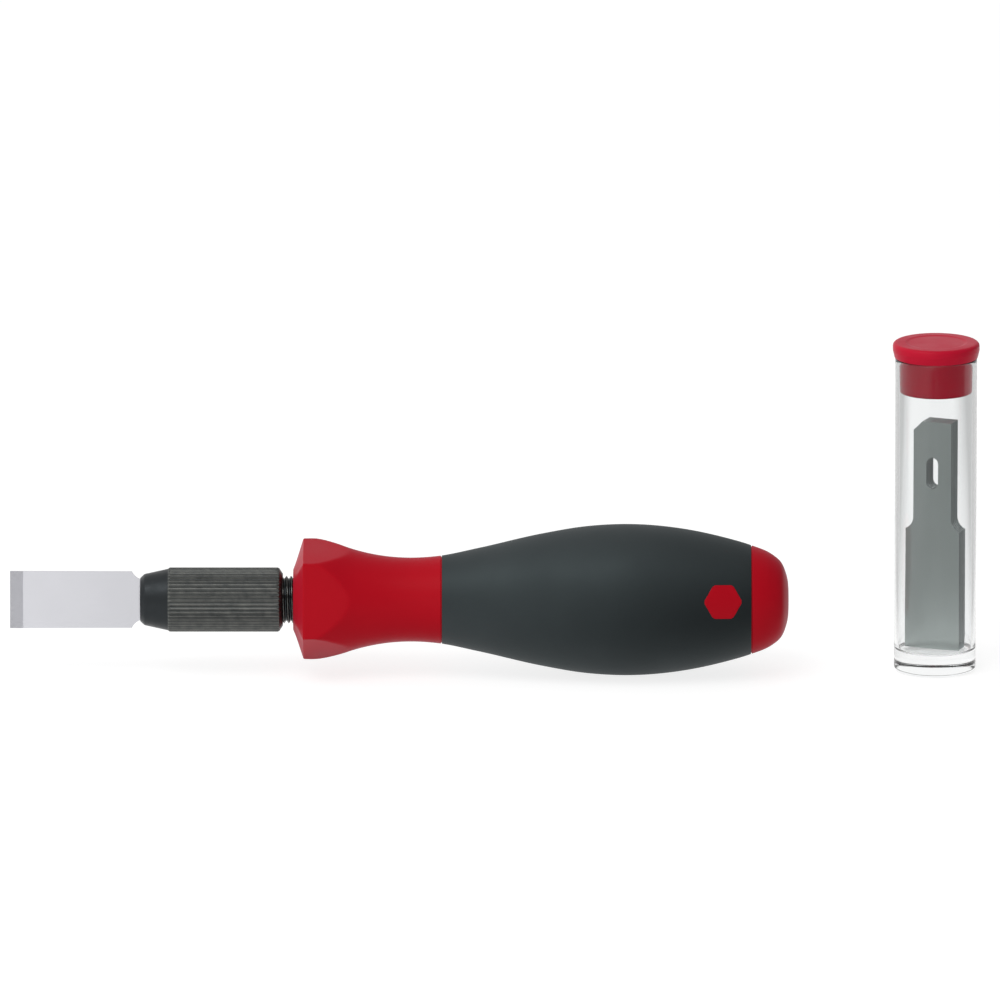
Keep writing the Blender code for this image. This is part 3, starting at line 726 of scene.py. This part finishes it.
class SCRAPER_OT_handle_core(bpy.types.Operator):
    """Builds the red core: collar with five flats, neck, stem, domed butt and hexagonal mark"""

    bl_idname = "scraper.handle_core"
    bl_label = "Handle Core"

    def execute(self, context):
        handle = context.scene.scraper_handle
        outline = handle_outline()
        finish = red_moulded_plastic(handle)
        collar = outline[0]
        bore_radius, seat_radius, seat_depth = 0.0048, 0.0057, 0.0015
        collar_step = 0.00002
        # The grooves reach just short of the grip's end faces, so that the faces don't share a plane.
        gap = handle.joint_gap / 2
        groove_end = gap - 0.00001
        neck = stretch(outline, collar.y, FRONT_JOINT - gap)
        stem = stretch(outline, FRONT_JOINT + groove_end, REAR_JOINT - groove_end, handle.grip_wall)
        stem = thinned(stem)
        butt = stretch(outline, REAR_JOINT + gap, HANDLE_LENGTH)
        front_groove = neck[-1][0] - handle.joint_depth
        rear_groove = butt[0][0] - handle.joint_depth
        corners = [
            (0, SPINDLE_REAR + GAP, 0),
            (bore_radius, SPINDLE_REAR + GAP, 0),
            (bore_radius, seat_depth, 0),
            (seat_radius, seat_depth, 0),
            (seat_radius, 0, 0.0001),
            (handle.face_radius, 0, 0.0004),
            (collar.x - collar_step, handle.cone_length, handle.collar_rounding),
            *sharp(neck[:-1]),
            (*neck[-1], handle.joint_rounding),
            (front_groove, neck[-1][1], 0),
            (front_groove, stem[0][1], 0),
            *sharp(stem),
            (rear_groove, stem[-1][1], 0),
            (rear_groove, butt[0][1], 0),
            (*butt[0], handle.joint_rounding),
            *sharp(butt[1:]),
        ]
        # The collar has close rows, so that the edges of its flats come out clean.
        profile = divided(rounded(corners), 0, collar.y, 0.00012)
        shape = spun(profile, ROUND_STEPS)

        sector = 2 * pi / FLAT_SIDES
        softness = handle.flat_softness

        def press_flats(radius, along, turn, vert):
            if along > handle.flats_end or radius < handle.face_radius - softness:
                return radius
            # One flat looks to the tool's face side, at -Y.
            from_flat = (turn + pi / 2 + sector / 2) % sector - sector / 2
            flat = handle.flat_distance / cos(from_flat)
            # In front, straight lines run from the edge of the round face out to the flats' edges.
            front = handle.face_radius + (flat - handle.face_radius) * along / handle.cone_length
            return pressed(pressed(radius, flat, softness), front, softness)

        move_radially(shape, press_flats)
        bmesh.ops.recalc_face_normals(shape, faces=shape.faces)
        add_piece("red_core", shape, TOOL, [finish], "handle", ["handle_core"])
        mark = self.mark(handle, outline)
        add_piece("hexagonal_mark", mark, TOOL, [finish], "handle")
        return {"FINISHED"}

    def mark(self, handle, outline):
        """A hexagonal pad that follows the grip, cut from a grid by one plane a flat and one a corner."""
        blunt_tip, edge_width, root = 0.00022, 0.00014, 0.0012
        shape = bmesh.new()
        apothem = handle.mark_size / 2
        tip = apothem / cos(pi / 6)
        bmesh.ops.create_grid(shape, x_segments=MARK_CELLS, y_segments=MARK_CELLS, size=tip)
        for side in range(12):
            turn = side * pi / 6
            normal = Vector((cos(turn), sin(turn), 0))
            reach = apothem if side % 2 == 0 else tip - blunt_tip
            geometry = [*shape.verts, *shape.edges, *shape.faces]
            bmesh.ops.bisect_plane(
                shape, geom=geometry, plane_co=normal * reach, plane_no=normal, clear_outer=True
            )
        bmesh.ops.inset_region(shape, faces=shape.faces, use_boundary=True, thickness=edge_width)
        rim = [edge for edge in shape.edges if edge.is_boundary]
        for vert in {vert for edge in rim for vert in edge.verts}:
            vert.co.z -= handle.mark_rise * 2
        wall = bmesh.ops.extrude_edge_only(shape, edges=rim)["geom"]
        lower = [item for item in wall if isinstance(item, bmesh.types.BMVert)]
        bmesh.ops.translate(shape, vec=(0, 0, -root), verts=lower)
        bottom = [edge for edge in shape.edges if edge.is_boundary]
        bmesh.ops.edgeloop_fill(shape, edges=bottom)
        bmesh.ops.recalc_face_normals(shape, faces=shape.faces)
        for vert in shape.verts:
            across, along, rise = vert.co
            place = handle.mark_place + along
            skin = sqrt(outline_radius(outline, place) ** 2 - across**2)
            vert.co = (across, -(skin + handle.mark_rise + rise), place)
        bmesh.ops.recalc_face_normals(shape, faces=shape.faces)
        return shape


class SCRAPER_OT_soft_grip(bpy.types.Operator):
    """Builds the soft sleeve that is moulded round the handle's stem"""

    bl_idname = "scraper.soft_grip"
    bl_label = "Soft Grip"

    def execute(self, context):
        handle = context.scene.scraper_handle
        outline = handle_outline()
        gap = handle.joint_gap / 2
        front = FRONT_JOINT + gap
        rear = REAR_JOINT - gap
        outer = stretch(outline, front, rear)
        inner = thinned(stretch(outline, front, rear, handle.grip_wall - GAP))
        corners = [
            (*outer[-1], handle.joint_rounding),
            *sharp(outer[-2:0:-1]),
            (*outer[0], handle.joint_rounding),
            *sharp(inner),
        ]
        shape = spun(rounded(corners, closed=True), ROUND_STEPS, closed=True)
        finish = soft_touch_elastomer(handle)
        add_piece("grip_skin", shape, TOOL, [finish], "handle", ["soft_grip"])
        return {"FINISHED"}


class SCRAPER_OT_chuck(bpy.types.Operator):
    """Builds the threaded spindle and the knurled clamping sleeve, and finishes the collet"""

    bl_idname = "scraper.chuck"
    bl_label = "Chuck"

    def execute(self, context):
        chuck = context.scene.scraper_chuck
        oxide = black_oxide_steel(chuck, "black_oxide_steel", roughness=0.41)
        oiled = black_oxide_steel(chuck, "oiled_black_oxide_steel", roughness=0.22)
        spindle, sleeve = self.spindle(chuck), self.sleeve(chuck)
        add_piece("threaded_spindle", spindle, TOOL, [oiled], "handle", ["chuck_spindle"])
        add_piece("knurled_sleeve", sleeve, TOOL, [oxide], "sleeve", ["clamping_sleeve"])
        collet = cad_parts["collet"]
        collet.data.materials.clear()
        collet.data.materials.append(turned_steel(chuck))
        return {"FINISHED"}

    def spindle(self, chuck):
        """The spindle with its thread cut as a helix into a finely divided bar."""
        bore_radius, bore_end = 0.0026, 0.0067
        crest_radius, thread_end = 0.0054, 0.0012
        shank_radius = 0.0045
        # A ring in the moulding holds the spindle there.
        ring_radius = shank_radius + 0.0012
        ring_front, ring_rear = SPINDLE_REAR - 0.0060, SPINDLE_REAR - 0.0030
        corners = [
            (0, bore_end, 0),
            (bore_radius, bore_end, 0),
            (bore_radius, SPINDLE_FRONT, 0.0002),
            (crest_radius, SPINDLE_FRONT, 0),
            (crest_radius, thread_end, 0),
            (shank_radius, thread_end, 0),
            (shank_radius, ring_front, 0),
            (ring_radius, ring_front, 0),
            (ring_radius, ring_rear, 0),
            (shank_radius, ring_rear, 0),
            (shank_radius, SPINDLE_REAR, 0),
            (0, SPINDLE_REAR, 0),
        ]
        profile = divided(rounded(corners), SPINDLE_FRONT, thread_end, chuck.thread_pitch / 20)
        shape = spun(profile, SPINDLE_STEPS)
        # Shares of half a pitch: the flat root, and the flank up to the crest. Thread crests are painted
        # less light than ribs, and their lighter colour is partly wear and partly a painted highlight.
        root, flank, rub_and_highlight = 0.2, 0.62, 0.7
        rub_and_highlight_layer = shape.verts.layers.float.new("crest")
        pitch, depth = chuck.thread_pitch, chuck.thread_depth

        def cut_thread(radius, along, turn, vert):
            if radius < crest_radius - depth or not SPINDLE_FRONT <= along <= thread_end:
                return radius
            phase = along / pitch - turn / (2 * pi)
            height = min(max((abs(phase - floor(phase) - 0.5) * 2 - root) / flank, 0), 1)
            entry = min((along - SPINDLE_FRONT) / pitch, 1)
            vert[rub_and_highlight_layer] = rub_and_highlight * height
            return radius - depth * (1 - height * entry)

        move_radially(shape, cut_thread)
        bmesh.ops.recalc_face_normals(shape, faces=shape.faces)
        return shape

    def sleeve(self, chuck):
        """The sleeve: a smooth conical nose, then straight ribs that run out at both of its ends."""
        radius = 0.0073
        thread_bore, collet_bore, mouth = 0.0057, 0.0053, 0.00485
        bore_step = SPINDLE_FRONT - GAP
        nose_base = SLEEVE_FRONT + chuck.nose_length
        run_in = 0.0004
        corners = [
            (thread_bore, SLEEVE_REAR, 0.0001),
            (thread_bore + 0.0002, SLEEVE_REAR, 0.00015),
            (radius - 0.00015, SLEEVE_REAR - 0.0008, 0.0003),
            (radius, SLEEVE_REAR - 0.0012, 0),
            (radius, nose_base + run_in, 0.0002),
            (radius - 0.0003, nose_base, 0.0003),
            (mouth + 0.00097, SLEEVE_FRONT + 0.00095, 0.0009),
            (mouth + 0.00007, SLEEVE_FRONT, 0.0002),
            (mouth, SLEEVE_FRONT, 0.00005),
            (mouth, COLLET_FRONT, 0),
            (collet_bore, COLLET_FRONT + 0.0040, 0),
            (collet_bore, bore_step, 0),
            (thread_bore, bore_step, 0),
        ]
        profile = rounded(corners, closed=True)
        profile = divided(profile, nose_base - 0.0001, SLEEVE_REAR, run_in)
        shape = spun(profile, STEPS_PER_RIB * chuck.ribs, closed=True)
        # The ribs are cut only this far in. Shares of half a rib's spacing: where a groove starts to
        # fall, and the width of its slope. The last share is how much darker a groove is painted: partly
        # less rubbed, partly painted shade.
        skin = 0.0009
        groove_edge, slope, sheltered_and_shaded = 0.80, 0.60, 0.6
        rub_and_highlight_layer = shape.verts.layers.float.new("crest")

        def cut_ribs(now, along, turn, vert):
            start = (along - nose_base) / run_in
            if now < radius - skin or start < 0:
                return now
            phase = turn * chuck.ribs / (2 * pi)
            crest = abs(phase - floor(phase) - 0.5) * 2
            hollow = min(max((groove_edge - crest) / slope, 0), 1)
            vert[rub_and_highlight_layer] = 1 - sheltered_and_shaded * hollow
            deep = chuck.rib_depth * hollow * min(start, 1)
            return min(now, radius - deep)

        move_radially(shape, cut_ribs)
        bmesh.ops.recalc_face_normals(shape, faces=shape.faces)
        return shape


def blade_shape(blades):
    """One blade: width along X, tail at 0 and edge at minus its length along Z, ground on its -Y side."""
    half_shank, half_width, thickness = 0.00455, 0.0065, 0.00065
    body, chamfer = -0.0253, 0.0022
    slot_middle, half_slot, slot_radius = -0.0120, 0.00365, 0.0014
    edge_land = 0.00005
    radius = blades.shoulder_radius
    sweep = radians(68)
    reach = min(radius * (1 - cos(sweep)), half_width - half_shank)
    shoulder = []
    for step in range(SHOULDER_STEPS + 1):
        angle = sweep * (1 - step / SHOULDER_STEPS)
        out = reach * (1 - cos(angle)) / (1 - cos(sweep))
        shoulder.append((half_shank + out, body + radius * (sin(sweep) - sin(angle))))
    right = [(half_width, -BLADE_LENGTH), *shoulder, (half_shank, -chamfer), (half_shank - chamfer, 0)]
    left = [(-half_shank, 0), *((-x, y) for x, y in shoulder[::-1]), (-half_width, -BLADE_LENGTH)]
    slot = []
    for side, start in ((1, 0), (-1, pi)):
        middle = slot_middle + side * (half_slot - slot_radius)
        for step in range(SLOT_STEPS + 1):
            angle = start + pi * step / SLOT_STEPS
            slot.append((slot_radius * cos(angle), middle + slot_radius * sin(angle)))

    shape = bmesh.new()
    for loop in (right + left, slot):
        verts = [shape.verts.new((x, thickness / 2, y)) for x, y in loop]
        for i, vert in enumerate(verts):
            shape.edges.new((verts[i - 1], vert))
    bmesh.ops.remove_doubles(shape, verts=shape.verts, dist=MERGE_DISTANCE)
    bmesh.ops.triangle_fill(shape, use_beauty=True, edges=shape.edges)
    sheet = list(shape.faces)
    grown = bmesh.ops.extrude_face_region(shape, geom=sheet, use_keep_orig=True)["geom"]
    moved = [item for item in grown if isinstance(item, bmesh.types.BMVert)]
    bmesh.ops.translate(shape, vec=(0, -thickness, 0), verts=moved)
    bmesh.ops.recalc_face_normals(shape, faces=shape.faces)
    outline = [e for e in shape.edges if len(e.link_faces) == 2 and e.calc_face_angle(0) > radians(60)]
    outline = [e for e in outline if abs(e.verts[0].co.y - e.verts[1].co.y) < MERGE_DISTANCE]
    bmesh.ops.bevel(
        shape,
        geom=outline,
        offset=blades.edge_round,
        affect="EDGES",
        segments=1,
        profile=0.5,
        material=-1,
        clamp_overlap=True,
    )
    slope_normal = Vector((0, -blades.grind_length, edge_land - thickness)).normalized()
    cut = bmesh.ops.bisect_plane(
        shape,
        geom=[*shape.verts, *shape.edges, *shape.faces],
        plane_co=(0, -thickness / 2, blades.grind_length - BLADE_LENGTH),
        plane_no=slope_normal,
        clear_outer=True,
    )["geom_cut"]
    rim = [item for item in cut if isinstance(item, bmesh.types.BMEdge)]
    bmesh.ops.edgeloop_fill(shape, edges=rim)
    bmesh.ops.recalc_face_normals(shape, faces=shape.faces)
    shape.normal_update()
    # The flat faces and the slope are ground. The sides and the slot get a darker colour, as painted shade.
    flat, slope, side = range(3)
    for face in shape.faces:
        if face.normal.dot(slope_normal) > 0.9999:
            face.material_index = slope
        else:
            face.material_index = side if abs(face.normal.y) < 0.3 else flat
    return shape


class SCRAPER_OT_blades(bpy.types.Operator):
    """Builds the blade in the chuck and the spare blades in the tube"""

    bl_idname = "scraper.blades"
    bl_label = "Blades"

    def execute(self, context):
        blades = context.scene.scraper_blades
        lying = {"turn": (TOOL_ROLL, 0, 0)}
        upright = {"turn": (0, 0, STACK_TURN), "upright": True}
        # Each has its colour, its roughness and the width of its scratches.
        fitted = [
            ground_steel("ground_tool_steel", blades.flat, 0.20, 0.00030, **lying),
            ground_steel("honed_tool_steel", blades.grind, 0.20, 0.00020, **lying),
            # The sides' darker colour is painted shade.
            ground_steel("painted_shade_side_steel", blades.side, 0.32, 0.00020, **lying),
        ]
        spare = [
            # The spares' darker steel colour is painted shade.
            ground_steel("oiled_painted_shade_spare_steel", blades.spare, 0.30, 0.00030, **upright),
            ground_steel("oiled_honed_steel", blades.grind, 0.24, 0.00020, **upright),
            ground_steel("oiled_painted_shade_side_steel", blades.side, 0.32, 0.00020, **upright),
        ]
        place = TOOL @ Matrix.Translation((0, 0, BLADE_TAIL))
        add_piece("fitted_blade", blade_shape(blades), place, fitted, "blade", ["blade"])
        for number in range(1, SPARE_BLADES + 1):
            name, body, node = f"stacked_blade_{number}", f"spare_{number}", f"spare_blade_{number}"
            low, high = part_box(node)
            middle = (low + high) / 2
            tail = Matrix.Translation((middle.x, middle.y, high.z))
            place = tail @ Matrix.Rotation(STACK_TURN + pi, 4, "Z")
            add_piece(name, blade_shape(blades), place, spare, body, [node])
        return {"FINISHED"}


class SCRAPER_OT_tube(bpy.types.Operator):
    """Builds the clear storage tube and its push-in cap"""

    bl_idname = "scraper.tube"
    bl_label = "Tube and Cap"

    def execute(self, context):
        tube = context.scene.scraper_tube
        bore = TUBE_RADIUS - tube.wall
        corners = [
            (0, tube.floor, 0),
            (bore, tube.floor, 0.0006),
            (bore, TUBE_HEIGHT, 0.0002),
            (TUBE_RADIUS, TUBE_HEIGHT, 0.0003),
            (TUBE_RADIUS, 0, 0.0008),
            (0, 0, 0),
        ]
        # Short rows keep the shading of the walls straight up to their rounded ends.
        profile = divided(rounded(corners), 0, TUBE_HEIGHT, 0.0010)
        shape = spun(profile, TUBE_STEPS)
        finish = clear_polystyrene(tube)
        add_piece("clear_tube", shape, TUBE, [finish], "tube", ["storage_tube"])

        clearance = 0.00003
        plug_radius, plug_taper = bore - clearance, 0.0002
        flange_bottom, flange_undercut = TUBE_HEIGHT + clearance, 0.0004
        top, rim_depth = CAP_HIGH.z, 0.0017
        dish, dish_slope = CAP_RADIUS - 0.0028, 0.0007
        corners = [
            (0, top - tube.dish_depth, 0),
            (dish - dish_slope, top - tube.dish_depth, 0.0005),
            (dish, top, 0.0005),
            (CAP_RADIUS, top, 0.0009),
            (CAP_RADIUS, top - rim_depth, 0.0004),
            (CAP_RADIUS - flange_undercut, flange_bottom, 0.0002),
            (plug_radius, flange_bottom, 0.0002),
            (plug_radius - plug_taper, CAP_LOW.z, 0.0006),
            (0, CAP_LOW.z, 0),
        ]
        shape = spun(divided(rounded(corners), CAP_LOW.z, top, 0.0006), TUBE_STEPS)
        add_piece("push_in_cap", shape, TUBE, [red_moulded_cap(tube)], "cap", ["tube_cap"])
        return {"FINISHED"}


class SCRAPER_OT_stage(bpy.types.Operator):
    """Sets up the floor, the light and the camera"""

    bl_idname = "scraper.stage"
    bl_label = "Stage"

    def execute(self, context):
        stage = context.scene.scraper_stage
        context.scene.view_settings.view_transform = "Standard"
        self.world(context.scene, stage)
        self.floor(stage)
        self.lamp("key_light", stage.key_power, place=(-0.25, -0.45, 0.80), size=(0.7, 0.5))
        self.lamp("front_light", stage.fill_power, place=(-0.16, -0.80, 0.15), size=(0.45, 0.3))
        self.camera(context.scene, stage)
        return {"FINISHED"}

    def world(self, scene, stage):
        """A pale room, lit from the left. The camera and the tube see it white."""
        bright_side, dim_side = -0.6, 0.8
        card_direction, card_edge, card_middle = (0.35, -0.93, 0.0), 0.45, 0.9
        world = bpy.data.worlds.new("pale_room")
        scene.world = world
        world.use_nodes = True
        tree = world.node_tree
        tree.nodes.clear()
        path = add_node(tree, "ShaderNodeLightPath").outputs
        direction = add_node(tree, "ShaderNodeTexCoord").outputs["Generated"]
        side = add_node(tree, "ShaderNodeSeparateXYZ", {0: direction})
        falling = add_node(
            tree,
            "ShaderNodeMapRange",
            {
                "Value": side.outputs["X"],
                "From Min": bright_side,
                "From Max": dim_side,
                "To Min": 1.0,
                "To Max": stage.fall_off,
            },
            interpolation_type="SMOOTHSTEP",
        )
        # Metal mirrors a dark card in front of the set, as a photographer hangs one up against glare.
        facing = add_node(
            tree, "ShaderNodeVectorMath", {0: direction, 1: card_direction}, operation="DOT_PRODUCT"
        )
        card = add_node(
            tree,
            "ShaderNodeMapRange",
            {
                "Value": facing.outputs["Value"],
                "From Min": card_edge,
                "From Max": card_middle,
                "To Min": 1.0,
                "To Max": stage.card,
            },
            interpolation_type="SMOOTHSTEP",
        )
        mirrored = add_node(
            tree, "ShaderNodeMath", {0: falling.outputs[0], 1: card.outputs[0]}, operation="MULTIPLY"
        )
        spread = add_node(
            tree, "ShaderNodeMath", {0: falling.outputs[0], 1: stage.surroundings}, operation="MULTIPLY"
        )
        rays = (
            ("Is Glossy Ray", mirrored.outputs[0]),
            ("Is Transmission Ray", 1.0),
            ("Is Camera Ray", 1.0),
        )
        strength = by_ray(tree, path, spread.outputs[0], rays)
        pale = add_node(tree, "ShaderNodeBackground", {"Color": (1, 1, 1, 1), "Strength": strength})
        add_node(tree, "ShaderNodeOutputWorld", {"Surface": pale.outputs[0]})

    def floor(self, stage):
        """A plain pale floor that keeps the set's shadow."""
        half_size, clearance = 4, 0.0001
        shape = bmesh.new()
        bmesh.ops.create_grid(shape, x_segments=1, y_segments=1, size=half_size)
        mesh = bpy.data.meshes.new("floor")
        shape.to_mesh(mesh)
        shape.free()
        mesh.materials.append(self.floor_finish(stage))
        floor_object = bpy.data.objects.new("floor", mesh)
        floor_object.location.z = -clearance
        bpy.context.scene.collection.objects.link(floor_object)

    def floor_finish(self, stage):
        """Matt card, which the camera, metal and glass see nearly white, as a backdrop lit by itself."""
        made = bpy.data.materials.new("pale_floor")
        made.use_nodes = True
        tree = made.node_tree
        tree.nodes.clear()
        path = add_node(tree, "ShaderNodeLightPath").outputs
        unlit = add_node(
            tree,
            "ShaderNodeMath",
            {0: path["Is Glossy Ray"], 1: path["Is Transmission Ray"]},
            operation="MAXIMUM",
        )
        seen = add_node(
            tree, "ShaderNodeMath", {0: unlit.outputs[0], 1: path["Is Camera Ray"]}, operation="MAXIMUM"
        )
        coordinates = add_node(tree, "ShaderNodeTexCoord").outputs["Object"]
        place = add_node(tree, "ShaderNodeSeparateXYZ", {0: coordinates})
        # Metal mirrors a white floor behind the set, and in front of it one with painted shade that darkens
        # to the right.
        front = add_node(
            tree,
            "ShaderNodeMapRange",
            {
                "Value": place.outputs["X"],
                "From Min": -0.02,
                "From Max": 0.06,
                "To Min": stage.front_left,
                "To Max": stage.front_right,
            },
        )
        across = add_node(
            tree,
            "ShaderNodeMapRange",
            {
                "Value": place.outputs["Y"],
                "From Min": -0.035,
                "From Max": 0.0,
                "To Min": front.outputs[0],
                "To Max": 1.0,
            },
        )
        # Through the tube, the floor has painted shade: dimmer in front of the set and to both sides of the
        # tube.
        behind = add_node(
            tree,
            "ShaderNodeMapRange",
            {
                "Value": place.outputs["Y"],
                "From Min": -0.07,
                "From Max": -0.02,
                "To Min": stage.front_through,
                "To Max": 1.0,
            },
        )
        offset = add_node(
            tree, "ShaderNodeMath", {0: place.outputs["X"], 1: TUBE_AXIS.x}, operation="SUBTRACT"
        )
        beside = add_node(tree, "ShaderNodeMath", {0: offset.outputs[0]}, operation="ABSOLUTE")
        edges = add_node(
            tree,
            "ShaderNodeMapRange",
            {
                "Value": beside.outputs[0],
                "From Min": 0.02,
                "From Max": 0.05,
                "To Min": 1.0,
                "To Max": stage.edge_shade,
            },
        )
        through = add_node(
            tree, "ShaderNodeMath", {0: behind.outputs[0], 1: edges.outputs[0]}, operation="MULTIPLY"
        )
        rays = (("Is Transmission Ray", through.outputs[0]), ("Is Camera Ray", 1.0))
        share = by_ray(tree, path, across.outputs[0], rays)
        # Part of the white is lit, so that it takes the shadow, and the rest glows.
        lit_part, glowing_part, dimmest = (0.35, 0.35, 0.35, 1), 0.80, (0.01, 0.01, 0.01, 1)
        dim = add_node(tree, "ShaderNodeBsdfDiffuse", {"Color": lit_part})
        glow = add_node(tree, "ShaderNodeEmission", {"Color": (1, 1, 1, 1), "Strength": glowing_part})
        white = add_node(tree, "ShaderNodeAddShader", {0: dim.outputs[0], 1: glow.outputs[0]})
        dark = add_node(tree, "ShaderNodeBsdfDiffuse", {"Color": dimmest})
        shown = add_node(
            tree, "ShaderNodeMixShader", {0: share, 1: dark.outputs[0], 2: white.outputs[0]}
        )
        lit = add_node(tree, "ShaderNodeBsdfDiffuse", {"Color": (*stage.floor, 1)})
        mixed = add_node(
            tree, "ShaderNodeMixShader", {0: seen.outputs[0], 1: lit.outputs[0], 2: shown.outputs[0]}
        )
        add_node(tree, "ShaderNodeOutputMaterial", {"Surface": mixed.outputs[0]})
        return made

    def lamp(self, name, power, place, size):
        """A large soft lamp that faces the set."""
        light = bpy.data.lights.new(name, "AREA")
        light.shape = "RECTANGLE"
        light.size, light.size_y = size
        light.energy = power
        made = bpy.data.objects.new(name, light)
        made.location = place
        made.rotation_euler = (-Vector(place)).to_track_quat("-Z", "Y").to_euler()
        bpy.context.scene.collection.objects.link(made)

    def camera(self, scene, stage):
        """The photograph's viewpoint: a long lens in front of the set and a little above it."""
        data = bpy.data.cameras.new("camera")
        data.lens = stage.lens
        data.sensor_width = 36
        data.sensor_fit = "HORIZONTAL"
        data.clip_start = 0.05
        data.clip_end = 50
        made = bpy.data.objects.new("camera", data)
        back = Vector((0, -cos(stage.elevation), sin(stage.elevation)))
        made.location = Vector(stage.aim) + back * stage.distance
        made.rotation_euler = (-back).to_track_quat("-Z", "Y").to_euler()
        scene.collection.objects.link(made)
        scene.camera = made


class SCRAPER_PT_set(bpy.types.Panel):
    """Lists the scraper set's sizes, colours and pieces"""

    bl_idname = "SCRAPER_PT_set"
    bl_label = "Blade Scraper Set"
    bl_space_type = "VIEW_3D"
    bl_region_type = "UI"
    bl_category = "Scraper"

    def draw(self, context):
        for attribute, kind in SETTINGS.items():
            box = self.layout.box()
            box.label(text=kind.__doc__)
            for name in kind.__annotations__:
                box.prop(getattr(context.scene, attribute), name)
        for kind in OPERATORS:
            self.layout.operator(kind.bl_idname)


SETTINGS = {
    "scraper_handle": HandleSettings,
    "scraper_chuck": ChuckSettings,
    "scraper_blades": BladeSettings,
    "scraper_tube": TubeSettings,
    "scraper_stage": StageSettings,
}
OPERATORS = (
    SCRAPER_OT_handle_core,
    SCRAPER_OT_soft_grip,
    SCRAPER_OT_chuck,
    SCRAPER_OT_blades,
    SCRAPER_OT_tube,
    SCRAPER_OT_stage,
)


def register():
    for kind in (*SETTINGS.values(), *OPERATORS, SCRAPER_PT_set):
        bpy.utils.register_class(kind)
    for attribute, kind in SETTINGS.items():
        setattr(bpy.types.Scene, attribute, PointerProperty(type=kind))


def unregister():
    for attribute in SETTINGS:
        delattr(bpy.types.Scene, attribute)
    for kind in (SCRAPER_PT_set, *reversed(OPERATORS), *reversed(tuple(SETTINGS.values()))):
        bpy.utils.unregister_class(kind)


def main():
    register()
    bpy.ops.scraper.handle_core()
    bpy.ops.scraper.soft_grip()
    bpy.ops.scraper.chuck()
    bpy.ops.scraper.blades()
    bpy.ops.scraper.tube()
    bpy.ops.scraper.stage()


if __name__ == "__main__":
    main()
